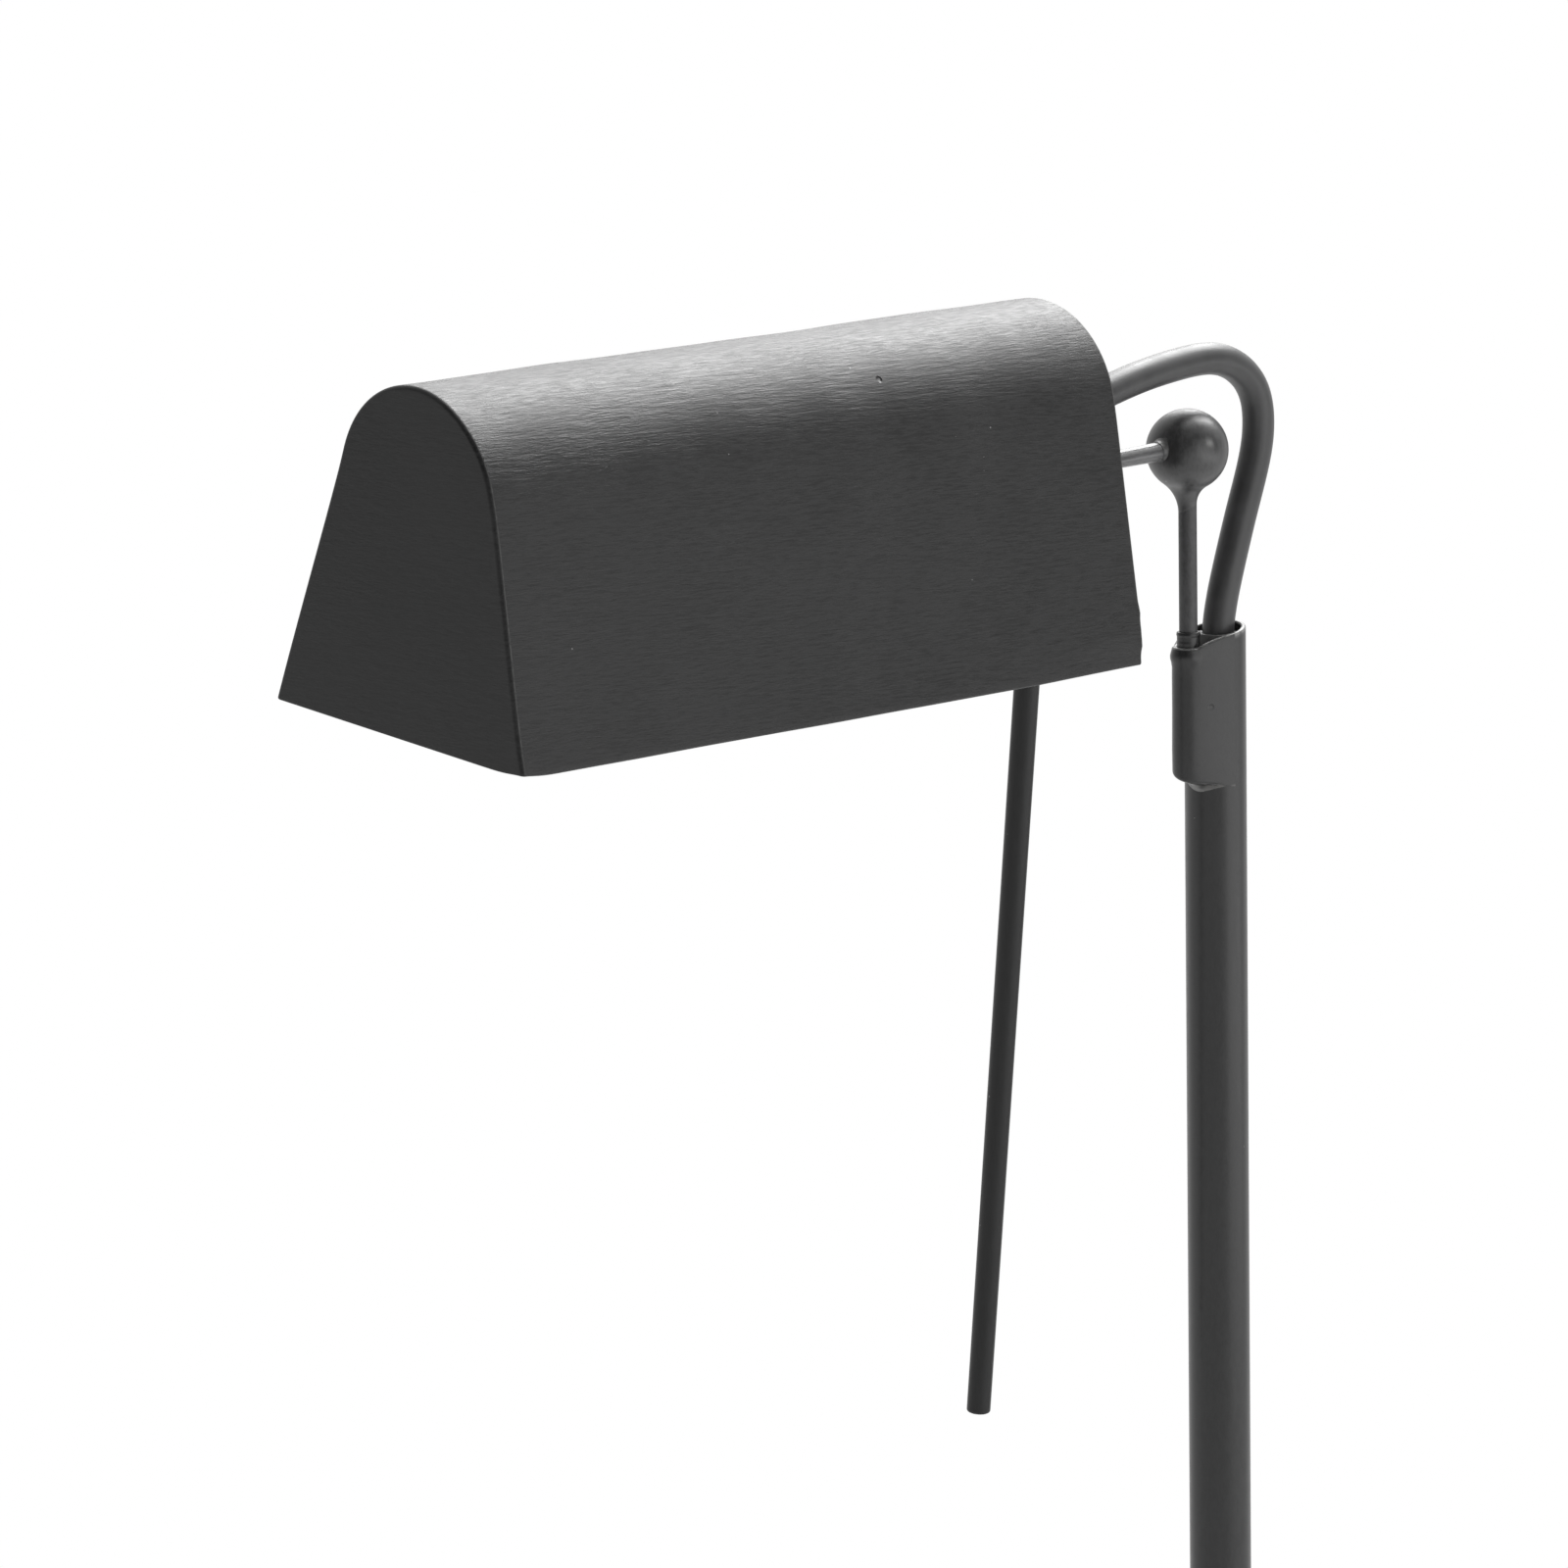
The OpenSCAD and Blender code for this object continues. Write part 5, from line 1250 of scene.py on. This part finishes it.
def add_cores():
    """Insulated cores from the sheath's end: two dip into the lampholder, the earth climbs to its screw."""
    leg = shade_corners("lampholder_bracket")[0][0] + STRIP_T
    start, lamp_rise, aside = SHEATH_END, lying("lamp_cap")[1], 1.7 * MM
    fall, up = ENTRY_RISE - lamp_rise, ENTRY_RISE + aside
    into = [(start, ENTRY_RISE), (start - 2.5 * MM, ENTRY_RISE),
            (start - 6.5 * MM, ENTRY_RISE - 0.35 * fall), (start - 10 * MM, ENTRY_RISE - 0.72 * fall),
            (leg + 7 * MM, lamp_rise + 0.3 * MM), (leg - 2 * MM, lamp_rise)]
    screw_z = lying("earth_screw")[1]
    earth = [(start, up), (start - 2.5 * MM, up), (start - 8 * MM, up + 2.4 * MM),
             (leg + 7 * MM, screw_z + 2.2 * MM), (leg + 4 * MM, screw_z + 2.6 * MM),
             (leg + 1.8 * MM, screw_z + 2.6 * MM)]
    for node, route, y, sheath in (("live_core", into, aside, brown_pvc),
                                   ("neutral_core", into, -aside, blue_pvc),
                                   ("earth_core", earth, 0.0, green_pvc)):
        path = flowing([(x, y, z) for x, z in route], 8)
        wire = from_shade(capped(rings_along(path, CORE_R, 16), path[0], path[-1]))
        piece(node + "_wire", "shade", sheath, node, wire)


add_lamp_glass()
add_lamp_cap()
add_lampholder()
add_bracket()
add_screws()
add_cores()

# CAD nodes that keep their shape
KEPT = (
    (zinc_steel, ("base_cover", "base_cover_screws", "pole_washer", "pole_nut", "terminal_screws",
                  "spring_washer", "lock_nut", "nipple_nut")),
    (worn_rubber, ("pole_sleeve",)),
    (black_pvc, ("lead_in_pole",)),
    (bakelite, ("switch_body",)),
    (white_nylon, ("terminal_block",)),
    (brown_pvc, ("base_cores",)),
    (blue_pvc, ("switch_cores",)),
)
for finish, names in KEPT:
    for name in names:
        NODES[name].data.materials.clear()
        NODES[name].data.materials.append(finish)

# Stage: a white floor that keeps the shadow near the lamp, in a white room
FLOOR_RINGS = np.array([0.0, 0.3, 1.0, 4.0, 14.0])[:, None]
FLOOR_GREY = (0.82, 0.82, 0.82, 1)
SHADOW_NEAR, SHADOW_FAR = 0.22, 0.48
WHITE = (1, 1, 1, 1)
# Way to the room's bright side, and how far along it the room's light begins to rise and is full
BRIGHT_WAY, RISE_FROM, RISE_TO = (0.72, 0.66, 0.25), -0.20, 0.84
# The room's light on the dim and the bright side
DIM_LIGHT, BRIGHT_LIGHT = 0.24, 1.0
# Soft lights above, behind, at one side and low: name, place, aim, size and power
SHADE_AIM, KNUCKLE_AIM, POLE_AIM = (-0.08, 0.0, 0.37), (-0.01, 0.0, 0.34), (0.0, 0.0, 0.22)
SOFT_LIGHTS = (
    ("overhead", (0.52, 0.14, 1.07), SHADE_AIM, (0.6, 0.6), 12.0),
    ("back", (0.62, 0.60, 0.90), SHADE_AIM, (0.6, 0.55), 3.9),
    ("fill", (0.68, -0.46, 1.01), SHADE_AIM, (0.5, 0.5), 0.8),
    ("top", (0.02, 0.05, 1.25), KNUCKLE_AIM, (0.5, 0.5), 2.2),
    ("side", (0.06, -0.85, 0.46), KNUCKLE_AIM, (0.8, 0.5), 1.9),
    ("low", (0.34, -0.80, 0.10), POLE_AIM, (1.0, 0.18), 0.95),
)


def add_floor():
    """Round white floor. Away from the lamp it is plain white to the camera and in reflections."""
    material = bpy.data.materials.new("floor_white")
    tree = new_tree(material)
    reach = vector_of(tree, "LENGTH", put(tree, "TexCoord").outputs["Object"])["Value"]
    seen = put(tree, "LightPath").outputs
    through = math_of(tree, "MAXIMUM", seen["Is Glossy Ray"], seen["Is Transmission Ray"])
    looked = math_of(tree, "MAXIMUM", seen["Is Camera Ray"], through)
    factor = math_of(tree, "MULTIPLY", looked, spread(tree, reach, SHADOW_NEAR, SHADOW_FAR))
    matt = put(tree, "BsdfDiffuse", {"Color": FLOOR_GREY}).outputs[0]
    white = put(tree, "Emission", {"Color": WHITE, "Strength": 1.0}).outputs[0]
    put(tree, "OutputMaterial", {0: put(tree, "MixShader", {0: factor, 1: matt, 2: white}).outputs[0]})
    floor = added("floor", mesh_of("floor", ring(FLOOR_RINGS, circle(96), 0)))
    floor.data.materials.append(material)


def add_world():
    """Soft room light: white from behind and above, dim from the front, and plain white to the camera."""
    world = bpy.data.worlds.new("room")
    tree = new_tree(world)
    facing = vector_of(tree, "DOT_PRODUCT", put(tree, "TexCoord").outputs["Generated"], BRIGHT_WAY)["Value"]
    level = spread(tree, facing, RISE_FROM, RISE_TO, DIM_LIGHT, BRIGHT_LIGHT)
    seen = put(tree, "LightPath").outputs
    looked = math_of(tree, "MAXIMUM", seen["Is Camera Ray"], seen["Is Transmission Ray"])
    room = put(tree, "Background", {"Color": WHITE, "Strength": level}).outputs[0]
    white = put(tree, "Background", {"Color": WHITE, "Strength": 1.0}).outputs[0]
    put(tree, "OutputWorld", {0: put(tree, "MixShader", {0: looked, 1: room, 2: white}).outputs[0]})
    bpy.context.scene.world = world


def add_softbox(name, at, aim, size, power):
    """A rectangular soft light at a place, aimed at a point."""
    data = bpy.data.lights.new(name, "AREA")
    data.shape = "RECTANGLE"
    data.size, data.size_y = size
    data.energy = power
    light = added(name, data)
    light.visible_camera = False
    light.location = at
    light.rotation_euler = (Vector(aim) - Vector(at)).to_track_quat("-Z", "Y").to_euler()


add_floor()
add_world()
for soft_light in SOFT_LIGHTS:
    add_softbox(*soft_light)

bpy.context.scene.view_settings.view_transform = "Standard"

bpy.context.view_layer.update()
